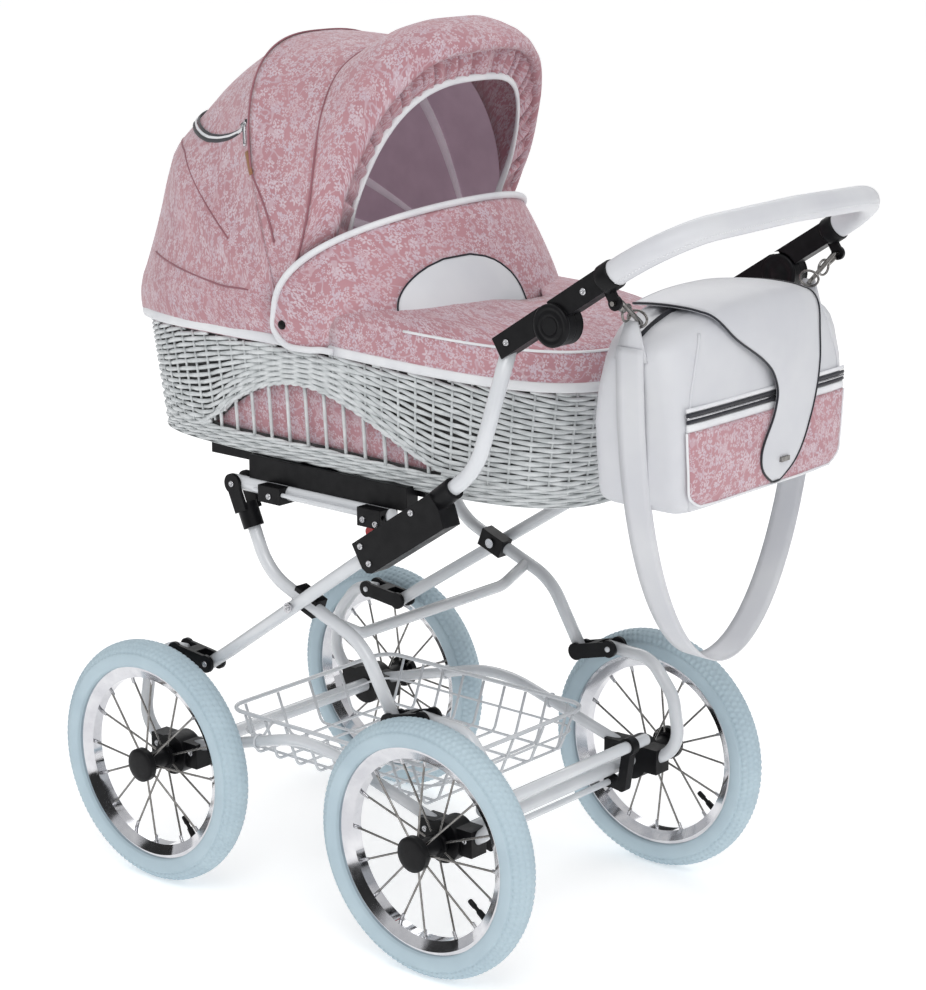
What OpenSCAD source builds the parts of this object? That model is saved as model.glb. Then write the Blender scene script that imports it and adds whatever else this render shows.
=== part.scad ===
// Bassinet pram: wicker bassinet with hood and apron on a folding steel chassis
// +X points to the pushing end, +Y to the right of the person pushing, +Z up; millimetres

/* [Wheels] */
// Height of the tyre above its rim
tyre_h = 35; // [28:1:38]
// Width of the tyre section
tyre_w = 47; // [40:1:50]
// Outside diameter of the rim that carries the tyre
rim_d = 280; // [264:1:290]
// Width of the rim
rim_w = 32; // [28:1:36]
// Depth of the rim towards the hub
rim_depth = 18; // [12:1:24]
// Spokes in each wheel, shared by two hub flanges
spoke_count = 16; // [8:2:24]
// Diameter of a spoke
spoke_d = 3; // [2:0.5:4]
// Diameter of the hub barrel
hub_d = 26; // [22:1:30]
// Diameter of the cap over the hub
hub_cap_d = 48; // [44:1:56]
// Diameter of the stub axles
axle_d = 12; // [8:1:14]

/* [Undercarriage] */
// Distance between front and rear axles
wheelbase = 509; // [490:1:530]
// Distance from each side tube out to its wheels' plane
wheel_out = 51.5; // [50:0.5:56]
// Distance between the left and right side tubes
frame_w = 400; // [396:1:402]
// Diameter of the arched side tubes
side_tube_d = 16; // [12:1:18]
// Height of the side tubes' peak corner above the axles
side_peak = 78; // [60:1:85]
// Diameter of the cross tubes between the axle brackets
cross_tube_d = 20; // [16:1:22]
// Reach of the spring tubes past the axles
spring_reach = 76; // [66:1:80]
// Height of the link pins above the axles
link_rise = 154; // [146:1:160]
// Depth of the wire shopping tray
tray_depth = 66; // [50:1:70]
// Length of the wire shopping tray
tray_l = 386; // [340:1:390]
// Distance from each side tube in to the wire shopping tray
tray_side = 32; // [30:1:50]
// Height of the foot brake bar above its rod
brake_h = 66; // [55:1:75]

/* [Fold frame] */
// Diameter of the fold frame and spring tubes
tube_d = 18; // [16:1:18]
// Diameter of the pivot pins
pin_d = 8; // [6:0.5:8]
// Length of the front links between pins
front_link_l = 62; // [58:1:66]
// Length of the rear links between pins
rear_link_l = 60; // [58:1:66]
// Height of the crossing pivot above the axles
cross_rise = 271; // [262:1:278]
// Height of the carrier rails above the axles
rail_rise = 417; // [410:1:425]
// Diameter of the carrier rails
rail_d = 20; // [18:1:22]
// Length of the carrier rails behind their pivots
rail_l = 278; // [265:1:285]

/* [Handle] */
// Length of the fold tubes from the front links to the fold boxes
fold_l = 390; // [380:1:396]
// How far the fold tubes spread outwards on each side
fold_spread = 38; // [36:1:42]
// Diameter of the push tubes
push_d = 20; // [18:1:22]
// Length of the push tubes' upper run
push_up_l = 177; // [165:1:190]
// Length of the hinged arm from the push tube to the grip
arm_l = 177; // [165:1:190]
// Radius of the hinge discs
disc_r = 26; // [24:1:28]
// Reach of the grip past its arms
grip_reach = 111; // [100:1:160]
// Diameter of the padded grip
grip_d = 32; // [28:1:34]

/* [Bassinet] */
// Length of the basket at its rim
basket_l = 810; // [780:1:820]
// Space between the basket's rim and each push tube
basket_side = 18; // [17:1:28]
// Height of the basket
basket_h = 158; // [140:1:165]
// How much narrower the basket is at its foot, on each side
basket_taper = 12; // [6:1:16]
// Thickness of the wicker wall
wicker_t = 14; // [10:1:16]
// Thickness of the mattress
mattress_t = 48; // [35:1:60]
// Radius of the hood from its pivot to its back
hood_r = 383; // [372:1:390]
// Height of the hood pivot above the basket rim
hood_pivot_h = 57; // [50:1:65]
// Reach of the padded visor past the hood
visor_bulge = 70; // [50:1:75]
// Height of the apron skirt above the basket rim
apron_h = 52; // [40:1:60]
// Height of the wind flap above the basket rim
flap_h = 193; // [170:1:200]

/* [Bag] */
// Height of the bag
bag_h = 248; // [220:1:260]
// Depth of the bag from front to back
bag_depth = 138; // [110:1:142]
// Distance from each push tube in to the bag's foot
bag_side_in = 80; // [74:1:92]
// How far the flap hangs down the front of the bag
flap_hang = 234; // [200:1:236]
// Width of the shoulder strap
strap_w = 40; // [30:1:45]
// How far the strap's loop hangs below the bag
strap_drop = 224; // [150:1:240]

/* [Hidden] */
$fn = 48;
WHEELS = ["front_left", "front_right", "rear_left", "rear_right"];

// Clearances
run_fit = 0.05;
side_gap = 0.6;
seat_gap = 0.3;

// Wheel stations
wheel_d = rim_d + 2 * tyre_h;
axle_z = wheel_d / 2;
front_x = -wheelbase / 2;
rear_x = wheelbase / 2;
frame_y = frame_w / 2;
wheel_y = frame_y + wheel_out;
rim_in = rim_d / 2 - rim_depth;
hub_half = 27;
hub_flange_y = 18;
cap_face = 30;
bracket_in = frame_y - 14;
bracket_out = frame_y + 22;

// Link pins in side view
front_link_back = 5;
rear_link_ahead = 42;
front_droop = 6.5;
rear_droop = 15;
link_z = axle_z + link_rise;
front_pin_out = [front_x + front_link_back, link_z];
front_pin_in = front_pin_out + pol(front_link_l, -front_droop);
rear_pin_out = [rear_x - rear_link_ahead, link_z];
rear_pin_in = rear_pin_out + pol(rear_link_l, 180 + rear_droop);
link_cheek_t = 5;
link_cheek_y = tube_d / 2 + side_gap;
link_half = link_cheek_y + link_cheek_t;

// Crossing pivot, legs and rails in side view
cross_pivot = [-3, axle_z + cross_rise];
leg_slope = -21;
leg_knee = cross_pivot + pol(75, 180 + leg_slope);
leg_hip = cross_pivot + pol(108, leg_slope);
leg_bend_r = 90;
rail_z = axle_z + rail_rise;
elbow = [-126, rail_z];
elbow_a = atan2(leg_knee[1] - elbow[1], leg_knee[0] - elbow[0]);
elbow_neck = 32;
rail_end = elbow[0] + rail_l;
brace_at = cross_pivot + pol(62, leg_slope);
fold_a = atan2(cross_pivot[1] - front_pin_in[1], cross_pivot[0] - front_pin_in[0]);
box_o = front_pin_in + pol(fold_l, fold_a);
push_y = frame_y + fold_spread;
box_half = 16;

// Push tubes, hinge and grip in side view
push_low_a = 38;
push_bend_r = 110;
push_start = box_o + pol(115, fold_a) + pol(8, fold_a + 90);
push_corner = push_start + pol(126, push_low_a);
push_top = push_corner + pol(push_up_l, 72);
arm_a = 33;
arm_h = 28;
arm_half = 12;
arm_end = push_top + pol(arm_l, arm_a);
hinge = push_top + pol(78, arm_a) + pol(14, arm_a - 90);
disc_mid = push_y;
disc_out = push_y + 14;
button_d = 22;
button_travel = 4;
button_pocket = push_y + 8;
button_face = disc_out + 5;
hook = arm_end + pol(11, arm_a + 180) + pol(30, arm_a - 90);

// Release wire and lever
wire_d = 6;
wire_y = frame_y + 16;
bracket_x = rail_end - 22;
clip_x = elbow[0] + 76;
lever_pivot = [bracket_x - 8, rail_z - 25];

// Bassinet levels
rail_top = rail_z + rail_d / 2;
base_h = 32;
basket_z = rail_top + seat_gap + base_h;
rim_z = basket_z + basket_h;
basket_a = basket_l / 2;
basket_b = push_y - push_d / 2 - basket_side;
oval_n = 3;
oval_steps = 56;
floor_t = 8;
hood_pivot = [-40, rim_z + hood_pivot_h];
hood_b = basket_b - 3;
hood_t = 8;
hood_n = 2.8;
hood_lean = 54;
hood_foot = 30;
bow_a = 114;
visor_a = 66;
visor_back = 84;
visor_sag = 28;
arm_gap = 1.2;
hood_steps = 24;
apron_x = 36;
flap_x = -40;
flap_len = 254;
flap_b = basket_b + 7.5;

// Bag levels, hung from the hooks
bag_top = hook[1] - 17;
bag_z = bag_top - bag_h;
bag_x = hook[0] - 12;
bag_half = bag_depth / 2;

// Row origin: middle of the length, on the ground
x_min = front_x - wheel_d / 2;
grip_bow_r = 400;
grip_corner_r = 92;
grip_bow = 14;
grip_half_bend = atan2(grip_bow, push_y);
grip_apex = grip_reach - grip_bow_r * (1 / cos(grip_half_bend) - 1);
x_max = arm_end[0] + grip_apex * cos(arm_a) + grip_d / 2;
x_mid = (x_min + x_max) / 2;

// Vectors
function pol(r, a) = [r * cos(a), r * sin(a)];
function unit(v) = v / norm(v);
function at_y(p, y) = [p[0], y, p[1]];
function sgn_pow(v, e) = sign(v) * pow(abs(v), e);

// Points of a polyline with its corners rounded to radius r
function arc_at(a, b, c, r, steps) =
  let (u = unit(b - a), v = unit(c - b), turn = acos(u * v), n = unit(v - (u * v) * u))
  let (m = b - u * r * tan(turn / 2) + n * r)
  [for (k = [0 : steps]) m - n * r * cos(turn * k / steps) + u * r * sin(turn * k / steps)];
function rounded(p, r, steps = 6) = concat(
  [p[0]],
  [for (i = [1 : len(p) - 2]) each arc_at(p[i - 1], p[i], p[i + 1], r, steps)],
  [p[len(p) - 1]]);

// Rings of points and the faces that join them into a closed solid
function tangent(q, i) = unit(q[min(i + 1, len(q) - 1)] - q[max(i - 1, 0)]);
function ring(q, i, d, ref, n) =
  let (t = tangent(q, i), a = unit(ref - (ref * t) * t), b = cross(t, a))
  [for (k = [0 : n - 1]) q[i] + d / 2 * (cos(360 * k / n) * a + sin(360 * k / n) * b)];
function loft_faces(rows, n) = concat(
  [[for (k = [0 : n - 1]) k]],
  [for (i = [0 : rows - 2], k = [0 : n - 1]) [i * n + k, (i + 1) * n + k, (i + 1) * n + (k + 1) % n]],
  [for (i = [0 : rows - 2], k = [0 : n - 1]) [i * n + k, (i + 1) * n + (k + 1) % n, i * n + (k + 1) % n]],
  [[for (k = [0 : n - 1]) rows * n - 1 - k]]);

module loft(rings) {
  polyhedron([for (r = rings) each r], loft_faces(len(rings), len(rings[0])));
}
module loop_sweep(path, d, ref, n) {
  m = len(path);
  long = concat([path[m - 1]], path, [path[0]]);
  rings = [for (i = [1 : m]) each ring(long, i, d, ref, n)];
  polyhedron(rings, [for (i = [0 : m - 1], k = [0 : n - 1])
    each quad(i * n + k, (i + 1) % m * n + k, (i + 1) % m * n + (k + 1) % n, i * n + (k + 1) % n)]);
}
module sweep(path, d, ref = [0, 1, 0], n = 16) {
  loft([for (i = [0 : len(path) - 1]) ring(path, i, d, ref, n)]);
}
// Tube through points of the side view at one distance from the middle
module side_sweep(points, y, r, d) {
  sweep(rounded([for (p = points) at_y(p, y)], r), d);
}

// A thick sheet: two grids of points, joined around their edges
function sheet_faces(r, m) = let (s = r * m) concat(
  [for (i = [0 : r - 2], j = [0 : m - 2])
    each quad(i * m + j, (i + 1) * m + j, (i + 1) * m + j + 1, i * m + j + 1)],
  [for (i = [0 : r - 2], j = [0 : m - 2])
    each quad(s + i * m + j, s + i * m + j + 1, s + (i + 1) * m + j + 1, s + (i + 1) * m + j)],
  [for (j = [0 : m - 2]) each quad(j, j + 1, s + j + 1, s + j)],
  [for (j = [0 : m - 2]) let (o = (r - 1) * m + j) each quad(o + 1, o, s + o, s + o + 1)],
  [for (i = [0 : r - 2]) each quad((i + 1) * m, i * m, s + i * m, s + (i + 1) * m)],
  [for (i = [0 : r - 2]) let (o = i * m + m - 1) each quad(o, o + m, s + o + m, s + o)]);
function quad(a, b, c, d) = [[a, b, c], [a, c, d]];
function turned(faces) = [for (f = faces) [f[2], f[1], f[0]]];

module sheet(outer, inner, flip = false) {
  f = sheet_faces(len(outer), len(outer[0]));
  polyhedron([for (row = concat(outer, inner)) each row], flip ? turned(f) : f);
}

// Flat shapes of the side view, given a thickness along Y
module slab(y0, y1) {
  translate([0, y1, 0]) rotate([90, 0, 0]) linear_extrude(y1 - y0) children();
}
module disc(p, d, y0, y1) {
  slab(y0, y1) translate(p) circle(d = d);
}
module bar(p, a, from, to, h, y0, y1) {
  slab(y0, y1) translate(p) rotate(a) translate([from, -h / 2]) square([to - from, h]);
}
module rod(a, b, d) {
  v = b - a;
  translate(a) rotate([0, acos(v[2] / norm(v)), atan2(v[1], v[0])]) cylinder(h = norm(v), d = d);
}
module both_sides() {
  children();
  mirror([0, 1, 0]) children();
}
module placed() {
  translate([-x_mid, 0, 0]) children();
}

// Wheels, drawn about the Y axis with their outer side towards +Y
module at_wheel(i) {
  s = i % 2 == 0 ? -1 : 1;
  x = i < 2 ? front_x : rear_x;
  translate([x, s * wheel_y, axle_z]) mirror([0, s < 0 ? 1 : 0, 0]) children();
}
module spun() {
  rotate([90, 0, 0]) rotate_extrude($fn = 96) children();
}
module tyre() {
  color("lightsteelblue") spun() difference() {
    translate([wheel_d / 2 - tyre_w / 2, 0]) circle(d = tyre_w);
    translate([0, -tyre_w]) square([rim_d / 2, 2 * tyre_w]);
  }
}
module rim() {
  lip = 5;
  bed = 8;
  wall = 3;
  color("silver") spun() difference() {
    polygon([
      [rim_d / 2, -rim_w / 2], [rim_d / 2, rim_w / 2], [rim_d / 2 - lip, rim_w / 2], [rim_in, bed],
      [rim_in, -bed], [rim_d / 2 - lip, -rim_w / 2]]);
    polygon([
      [rim_d, wall - rim_w / 2], [rim_d, rim_w / 2 - wall], [rim_d / 2 - lip, rim_w / 2 - wall],
      [rim_in + wall, bed - wall], [rim_in + wall, wall - bed], [rim_d / 2 - lip, wall - rim_w / 2]]);
  }
}
module spokes() {
  grip_in = 1.5;
  color("silver") for (k = [0 : spoke_count - 1]) {
    a = 360 * k / spoke_count;
    y = k % 2 == 0 ? hub_flange_y : -hub_flange_y;
    rod(at_y(pol(hub_d / 2 + 1, a), y), at_y(pol(rim_in + grip_in, a), y / 6), spoke_d);
  }
}
module hub() {
  flange_d = hub_d + 10;
  flange_t = 4;
  cap_t = 9;
  color("black") difference() {
    union() {
      disc([0, 0], hub_d, -hub_half, hub_half);
      for (y = [-hub_flange_y, hub_flange_y]) disc([0, 0], flange_d, y - flange_t / 2, y + flange_t / 2);
      disc([0, 0], hub_cap_d, cap_face - cap_t, cap_face);
    }
    disc([0, 0], axle_d + 2 * run_fit, -hub_half - 1, cap_face - cap_t);
  }
}

// Undercarriage
side_end = wheelbase / 2 - 14;
side_low = 10;
side_bend_r = 220;
function side_z(x) = axle_z + side_peak - (side_peak - side_low) * abs(x) / side_end;
module side_tube() {
  points = [for (x = [-side_end, 0, side_end]) [x, side_z(x)]];
  side_sweep(points, frame_y, side_bend_r, side_tube_d);
}
module side_tubes() {
  color("white") both_sides() side_tube();
}
module cross_tube(x) {
  reach = bracket_in + 2;
  color("white") disc([x, axle_z], cross_tube_d, -reach, reach);
}
// Corners of a spring tube, as reach past its axle and rise above it
spring_corners = [[24, link_rise - 3], [spring_reach - 13, 103], [spring_reach, 30], [22, -3]];
spring_bend_r = 46;
// Length of a tube past the pin through its end
pin_tail = 9;
// Spring tube from a link pin, out past the axle and back into its bracket
module spring_sweep(x, out, pin_out) {
  corners = [for (c = spring_corners) [x + out * c[0], axle_z + c[1]]];
  side_sweep(concat([pin_out - [out * pin_tail, 0]], corners), frame_y, spring_bend_r, tube_d);
}
module spring_tube(x, out, pin_out) {
  head = 1;
  difference() {
    spring_sweep(x, out, pin_out);
    disc(pin_out, pin_d - 1, frame_y - tube_d, frame_y + tube_d);
  }
  disc(pin_out, pin_d, frame_y - link_half - head, frame_y + link_half + head);
}
module spring_tubes() {
  color("white") both_sides() {
    spring_tube(front_x, -1, front_pin_out);
    spring_tube(rear_x, 1, rear_pin_out);
  }
}
module stub_axle(x) {
  collar = 3;
  disc([x, axle_z], axle_d, bracket_out - 10, wheel_y + 18);
  disc([x, axle_z], axle_d + 2 * collar, bracket_out, wheel_y - hub_half - seat_gap);
}
module stub_axles() {
  color("silver") both_sides() for (x = [front_x, rear_x]) stub_axle(x);
}
brake_rod_d = 9;
brake_rod = [rear_x, axle_z - 20];
module axle_bracket(x, out) {
  block_l = 92;
  block_h = 36;
  boss_d = 58;
  difference() {
    union() {
      disc([x, axle_z], boss_d, bracket_in, bracket_out);
      bar([x, axle_z + 4], 0, -block_l / 2, block_l / 2, block_h, bracket_in, bracket_out - 6);
    }
    side_tube();
    disc([x, axle_z], cross_tube_d, 0, bracket_in + 2);
    spring_sweep(x, out, out > 0 ? rear_pin_out : front_pin_out);
    stub_axle(x);
    if (out > 0) disc(brake_rod, brake_rod_d + 2 * run_fit, 0, bracket_in + 6);
  }
}
module axle_brackets() {
  color("black") both_sides() {
    axle_bracket(front_x, -1);
    axle_bracket(rear_x, 1);
  }
}
// Wire tray: a rim, a sunk floor and ribs that run down both walls
tray_z = axle_z + 70;
module shopping_tray() {
  rim_wire = 6;
  rib_wire = 4;
  l = tray_l / 2;
  w = frame_y - tray_side;
  inset = 24;
  corner_r = 30;
  bend_r = 12;
  flat = corner_r + 6;
  weld = 0.1;
  rib_end = rim_wire / 2 + 0.9;
  hook_end = rim_wire / 2 + 1.6;
  z0 = tray_z - tray_depth;
  z1 = tray_z - rib_end;
  ribs = 9;
  runs = 5;
  hook_x = 100;
  hook_sink = 4;
  edge = [for (q = [0 : 3], a = [0 : 22.5 : 90]) let (t = 90 * q + a) [
    (l - corner_r) * (q == 0 || q == 3 ? 1 : -1) + corner_r * cos(t),
    (w - corner_r) * (q < 2 ? 1 : -1) + corner_r * sin(t), tray_z]];
  color("white") {
    loop_sweep(edge, rim_wire, [0, 0, 1], 10);
    for (i = [0 : ribs - 1]) {
      x = (l - flat) * (2 * i / (ribs - 1) - 1);
      points = [[x, -w, z1], [x, inset - w, z0], [x, w - inset, z0], [x, w, z1]];
      sweep(rounded(points, bend_r, 3), rib_wire, [1, 0, 0], 8);
    }
    for (j = [0 : runs - 1]) {
      y = (w - flat) * (2 * j / (runs - 1) - 1);
      z = z0 + rib_wire + weld;
      points = [[-l, y, z1], [inset - l, y, z], [l - inset, y, z], [l, y, z1]];
      sweep(rounded(points, bend_r, 3), rib_wire, [0, 1, 0], 8);
    }
    both_sides() for (x = [-hook_x, hook_x])
      sweep([[x, w + hook_end, tray_z], [x, frame_y - hook_sink, side_z(x)]], rib_wire, [1, 0, 0], 8);
  }
}
// Foot brake: a bar on two arms that turn with a rod between the rear brackets
brake_a = 62;
brake_foot = brake_rod + pol(brake_h, brake_a);
brake_bar_d = 17;
brake_arm_y = 150;
module brake_bar() {
  color("white") {
    disc(brake_foot, brake_bar_d, -brake_arm_y - 30, brake_arm_y + 30);
    disc(brake_rod, brake_rod_d, -bracket_in - 5, bracket_in + 5);
  }
}
// Each arm leaves the rod under the cross tube and turns up behind it
module brake_arms() {
  arm_t = 14;
  knee_a = -8;
  knee_l = 22;
  knee = brake_rod + pol(knee_l, knee_a);
  up_a = atan2(brake_foot[1] - knee[1], brake_foot[0] - knee[0]);
  color("black") both_sides() difference() {
    union() {
      disc(brake_rod, brake_rod_d + 8, brake_arm_y - arm_t, brake_arm_y);
      bar(brake_rod, knee_a, 0, knee_l, arm_t - 1, brake_arm_y - arm_t, brake_arm_y);
      disc(knee, arm_t, brake_arm_y - arm_t, brake_arm_y);
      bar(knee, up_a, 0, norm(brake_foot - knee), arm_t, brake_arm_y - arm_t, brake_arm_y);
      disc(brake_foot, brake_bar_d + 8, brake_arm_y - arm_t, brake_arm_y);
    }
    brake_bar();
  }
}

// Links: two cheeks and a block between them, turning on the spring tubes' pins
module link(pin_out, pin_in, pinned) {
  l = norm(pin_in - pin_out);
  a = atan2(pin_in[1] - pin_out[1], pin_in[0] - pin_out[0]);
  eye_d = 25;
  bar_h = 21;
  block = 21;
  difference() {
    union() {
      for (y = [-link_half, link_cheek_y]) {
        disc(pin_out, eye_d, frame_y + y, frame_y + y + link_cheek_t);
        disc(pin_in, eye_d, frame_y + y, frame_y + y + link_cheek_t);
        bar(pin_out, a, 0, l, bar_h, frame_y + y, frame_y + y + link_cheek_t);
      }
      bar(pin_out, a, block, l - block - 3, bar_h, frame_y - link_half, frame_y + link_half);
      if (pinned) disc(pin_in, pin_d, frame_y - link_half, frame_y + link_half);
    }
    disc(pin_out, pin_d + 2 * run_fit, frame_y - link_half - 1, frame_y + link_half + 1);
  }
}
module front_links() {
  color("black") both_sides() link(front_pin_out, front_pin_in, true);
}
module rear_links() {
  color("black") both_sides() link(rear_pin_out, rear_pin_in, false);
}

// Fold tubes: from the front links past the crossing pivots to the fold boxes
fold_in = front_pin_in - pol(pin_tail, fold_a);
fold_low = front_pin_in + pol(42, fold_a);
fold_high = box_o - pol(25, fold_a);
fold_end = box_o + pol(60, fold_a);
fold_bend_r = 80;
module fold_tube() {
  difference() {
    sweep(rounded([
      at_y(fold_in, frame_y), at_y(fold_low, frame_y),
      at_y(fold_high, push_y), at_y(fold_end, push_y)], fold_bend_r, 4), tube_d);
    disc(front_pin_in, pin_d + 2 * run_fit, frame_y - tube_d, frame_y + tube_d);
    disc(cross_pivot, pin_d + 2 * run_fit, frame_y, push_y + tube_d);
  }
}
module fold_tubes() {
  color("white") both_sides() fold_tube();
}
module push_tube() {
  side_sweep([push_start, push_corner, push_top], push_y, push_bend_r, push_d);
}
module push_tubes() {
  color("white") both_sides() push_tube();
}
module fold_boxes() {
  collar_d = push_d + 9;
  color("black") both_sides() difference() {
    union() {
      slab(push_y - box_half, push_y + box_half) translate(box_o) rotate(fold_a)
        polygon([[8, 22], [6, -12], [10, -21], [18, -25], [164, -26], [170, -2], [166, 22]]);
      rod(at_y(push_start + pol(30, push_low_a), push_y),
        at_y(push_start + pol(80, push_low_a), push_y), collar_d);
    }
    fold_tube();
    push_tube();
  }
}
// Lower half of the handle hinge, with its socket for the push tube
hinge_pin_d = 16;
module handle_arms() {
  color("black") both_sides() difference() {
    union() {
      difference() {
        bar(push_top, arm_a, -16, 78, arm_h, push_y - arm_half, push_y + arm_half);
        disc(hinge, 2 * (disc_r + 3), disc_mid - 1, push_y + 20);
      }
      disc(hinge, 2 * disc_r, push_y - arm_half, disc_mid - side_gap / 2);
      disc(hinge, hinge_pin_d, push_y - arm_half, disc_mid + 5);
    }
    push_tube();
  }
}

// Legs: from the rear links past the crossing pivots up to the carrier rails
leg_foot = rear_pin_in + pol(8, atan2(rear_pin_in[1] - leg_hip[1], rear_pin_in[0] - leg_hip[0]));
leg_top = elbow + pol(elbow_neck, elbow_a);
module leg() {
  difference() {
    side_sweep([leg_top, leg_knee, leg_hip, leg_foot], frame_y, leg_bend_r, tube_d);
    disc(cross_pivot, pin_d, frame_y - tube_d, frame_y + tube_d);
  }
}
module legs() {
  color("white") both_sides() leg();
}
module leg_brace() {
  drop = 24;
  sink = 5;
  bend_r = 40;
  y1 = frame_y - tube_d / 2 + sink;
  y2 = frame_y - 50;
  low = brace_at - [6, drop];
  points = [at_y(brace_at, y1), at_y(low, y2), at_y(low, -y2), at_y(brace_at, -y1)];
  color("white") sweep(rounded(points, bend_r, 4), tube_d - 2, [1, 0, 0]);
}
module pivot_blocks() {
  block_l = 42;
  block_h = 27;
  color("black") both_sides() difference() {
    bar(cross_pivot, leg_slope, -block_l / 2, block_l / 2, block_h, frame_y - 15, frame_y + 6);
    side_sweep([leg_top, leg_knee, leg_hip, leg_foot], frame_y, leg_bend_r, tube_d);
    disc(cross_pivot, pin_d, frame_y - 20, frame_y + 20);
  }
}
module pivot_pins() {
  head_d = 14;
  out = frame_y + 37;
  color("silver") both_sides() {
    disc(cross_pivot, pin_d, frame_y - 15, out);
    disc(cross_pivot, head_d, frame_y - 18, frame_y - 15);
    disc(cross_pivot, head_d, out - 2, out + 1);
  }
}
// Elbows: forked hinge of each carrier rail on the top of its leg
elbow_cheek_y = rail_d / 2 + side_gap;
elbow_half = elbow_cheek_y + 5;
module leg_elbows() {
  eye_d = 28;
  sleeve_d = tube_d + 11;
  color("black") both_sides() {
    difference() {
      union() {
        for (y = [-elbow_half, elbow_cheek_y]) {
          disc(elbow, eye_d, frame_y + y, frame_y + y + 5);
          bar(elbow, elbow_a, 0, elbow_neck + 8, 22, frame_y + y, frame_y + y + 5);
        }
        rod(at_y(elbow + pol(elbow_neck - 2, elbow_a), frame_y),
          at_y(elbow + pol(elbow_neck * 2, elbow_a), frame_y), sleeve_d);
      }
      side_sweep([leg_top, leg_knee, leg_hip, leg_foot], frame_y, leg_bend_r, tube_d);
    }
    disc(elbow, pin_d, frame_y - elbow_half, frame_y + elbow_half);
  }
}

// Carrier rails with the clips and brackets that hold the bassinet
module rail() {
  difference() {
    rod([elbow[0] - pin_tail, frame_y, rail_z], [rail_end, frame_y, rail_z], rail_d);
    disc(elbow, pin_d + 2 * run_fit, frame_y - rail_d, frame_y + rail_d);
  }
}
module rails() {
  color("white") both_sides() rail();
}
lever_y = frame_y + 4.4;
lever_pin_d = 6;
module rail_brackets() {
  y0 = frame_y - 13;
  y1 = push_y - box_half - side_gap;
  ear_d = 17;
  color("black") both_sides() difference() {
    union() {
      bar([clip_x, rail_z - 2], 0, -20, 20, 23, y0, y1);
      bar([bracket_x, rail_z - 3], 0, -20, 20, 25, y0, y1);
      disc(lever_pivot, ear_d, frame_y - 4, lever_y - 0.4);
      bar(lever_pivot, 90, 0, 14, ear_d, frame_y - 4, lever_y - 0.4);
    }
    rod([elbow[0], frame_y, rail_z], [rail_end, frame_y, rail_z], rail_d);
    rod([elbow[0], wire_y, rail_z], [rail_end + 30, wire_y, rail_z], wire_d + 2 * run_fit);
    disc(lever_pivot, lever_pin_d + 2 * run_fit, frame_y - 10, frame_y + 10);
  }
}
module release_wires() {
  color("white") both_sides() rod([clip_x - 32, wire_y, rail_z], [bracket_x + 12, wire_y, rail_z], wire_d);
}
module red_levers() {
  lever_t = 6;
  lever_l = 36;
  color("red") both_sides() {
    disc(lever_pivot, 15, lever_y, lever_y + lever_t);
    bar(lever_pivot, -90, 0, lever_l, 13, lever_y, lever_y + lever_t);
    disc(lever_pivot, lever_pin_d, frame_y - 4, lever_y);
  }
}

// Upper half of the handle hinge, the grip and its release buttons
module handle_joints() {
  lug_d = 18;
  lug_half = 2.5;
  neck = lug_d - 4;
  color("black") both_sides() difference() {
    union() {
      difference() {
        bar(push_top, arm_a, 84, arm_l, arm_h, push_y - arm_half, push_y + arm_half);
        disc(hinge, 2 * (disc_r + 3), push_y - 20, disc_mid + 1);
      }
      disc(hinge, 2 * disc_r, disc_mid + side_gap / 2, disc_out);
      disc(hook, lug_d, push_y - lug_half, push_y + lug_half);
      bar(hook, arm_a + 90, 0, 24, neck, push_y - lug_half, push_y + lug_half);
    }
    disc(hinge, hinge_pin_d + 2 * run_fit, push_y - 20, disc_mid + 5 + side_gap);
    disc(hinge, button_d + 2 * run_fit, button_pocket, disc_out + 1);
    disc(hook, wire_d + 2 * run_fit, push_y - 10, push_y + 10);
  }
}
module grip() {
  far = grip_reach - grip_bow;
  start = seat_gap;
  points = [[start, -push_y], [far, -push_y], [grip_reach, 0], [far, push_y], [start, push_y]];
  spots = [for (p = points) at_y(arm_end + pol(p[0], arm_a), p[1])];
  sides = concat(
    [spots[0]],
    arc_at(spots[0], spots[1], spots[2], grip_corner_r, 8),
    arc_at(spots[1], spots[2], spots[3], grip_bow_r, 4),
    arc_at(spots[2], spots[3], spots[4], grip_corner_r, 8),
    [spots[4]]);
  color("white") sweep(sides, grip_d, [-sin(arm_a), 0, cos(arm_a)], 24);
}
module button() {
  disc(hinge, button_d, button_pocket + button_travel, button_face);
}
module button_left() {
  color("dimgray") mirror([0, 1, 0]) button();
}
module button_right() {
  color("dimgray") button();
}

// Ovals of the basket, smaller by a margin all round
function oval(a, b, z) = [for (k = [0 : oval_steps - 1]) let (t = 360 * k / oval_steps)
  [a * sgn_pow(cos(t), 2 / oval_n), b * sgn_pow(sin(t), 2 / oval_n), z]];
function wall_at(z) = basket_taper * (rim_z - z) / basket_h;
function basket_oval(z, margin) = oval(basket_a - 2 * wall_at(z) - margin, basket_b - wall_at(z) - margin, z);

module base_frame() {
  plate_t = 14;
  plate_l = 390;
  plate_w = frame_w - 32;
  runner_x = elbow[0] + 22;
  runner_l = rail_end + 28 - runner_x;
  runner_w = 22;
  runner_y = frame_y - runner_w / 2 - 8;
  z0 = rail_top + seat_gap;
  color("black") {
    translate([-plate_l / 2, -plate_w / 2, basket_z - plate_t]) cube([plate_l, plate_w, plate_t]);
    both_sides() translate([runner_x, runner_y, z0]) cube([runner_l, runner_w, base_h]);
  }
}
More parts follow.
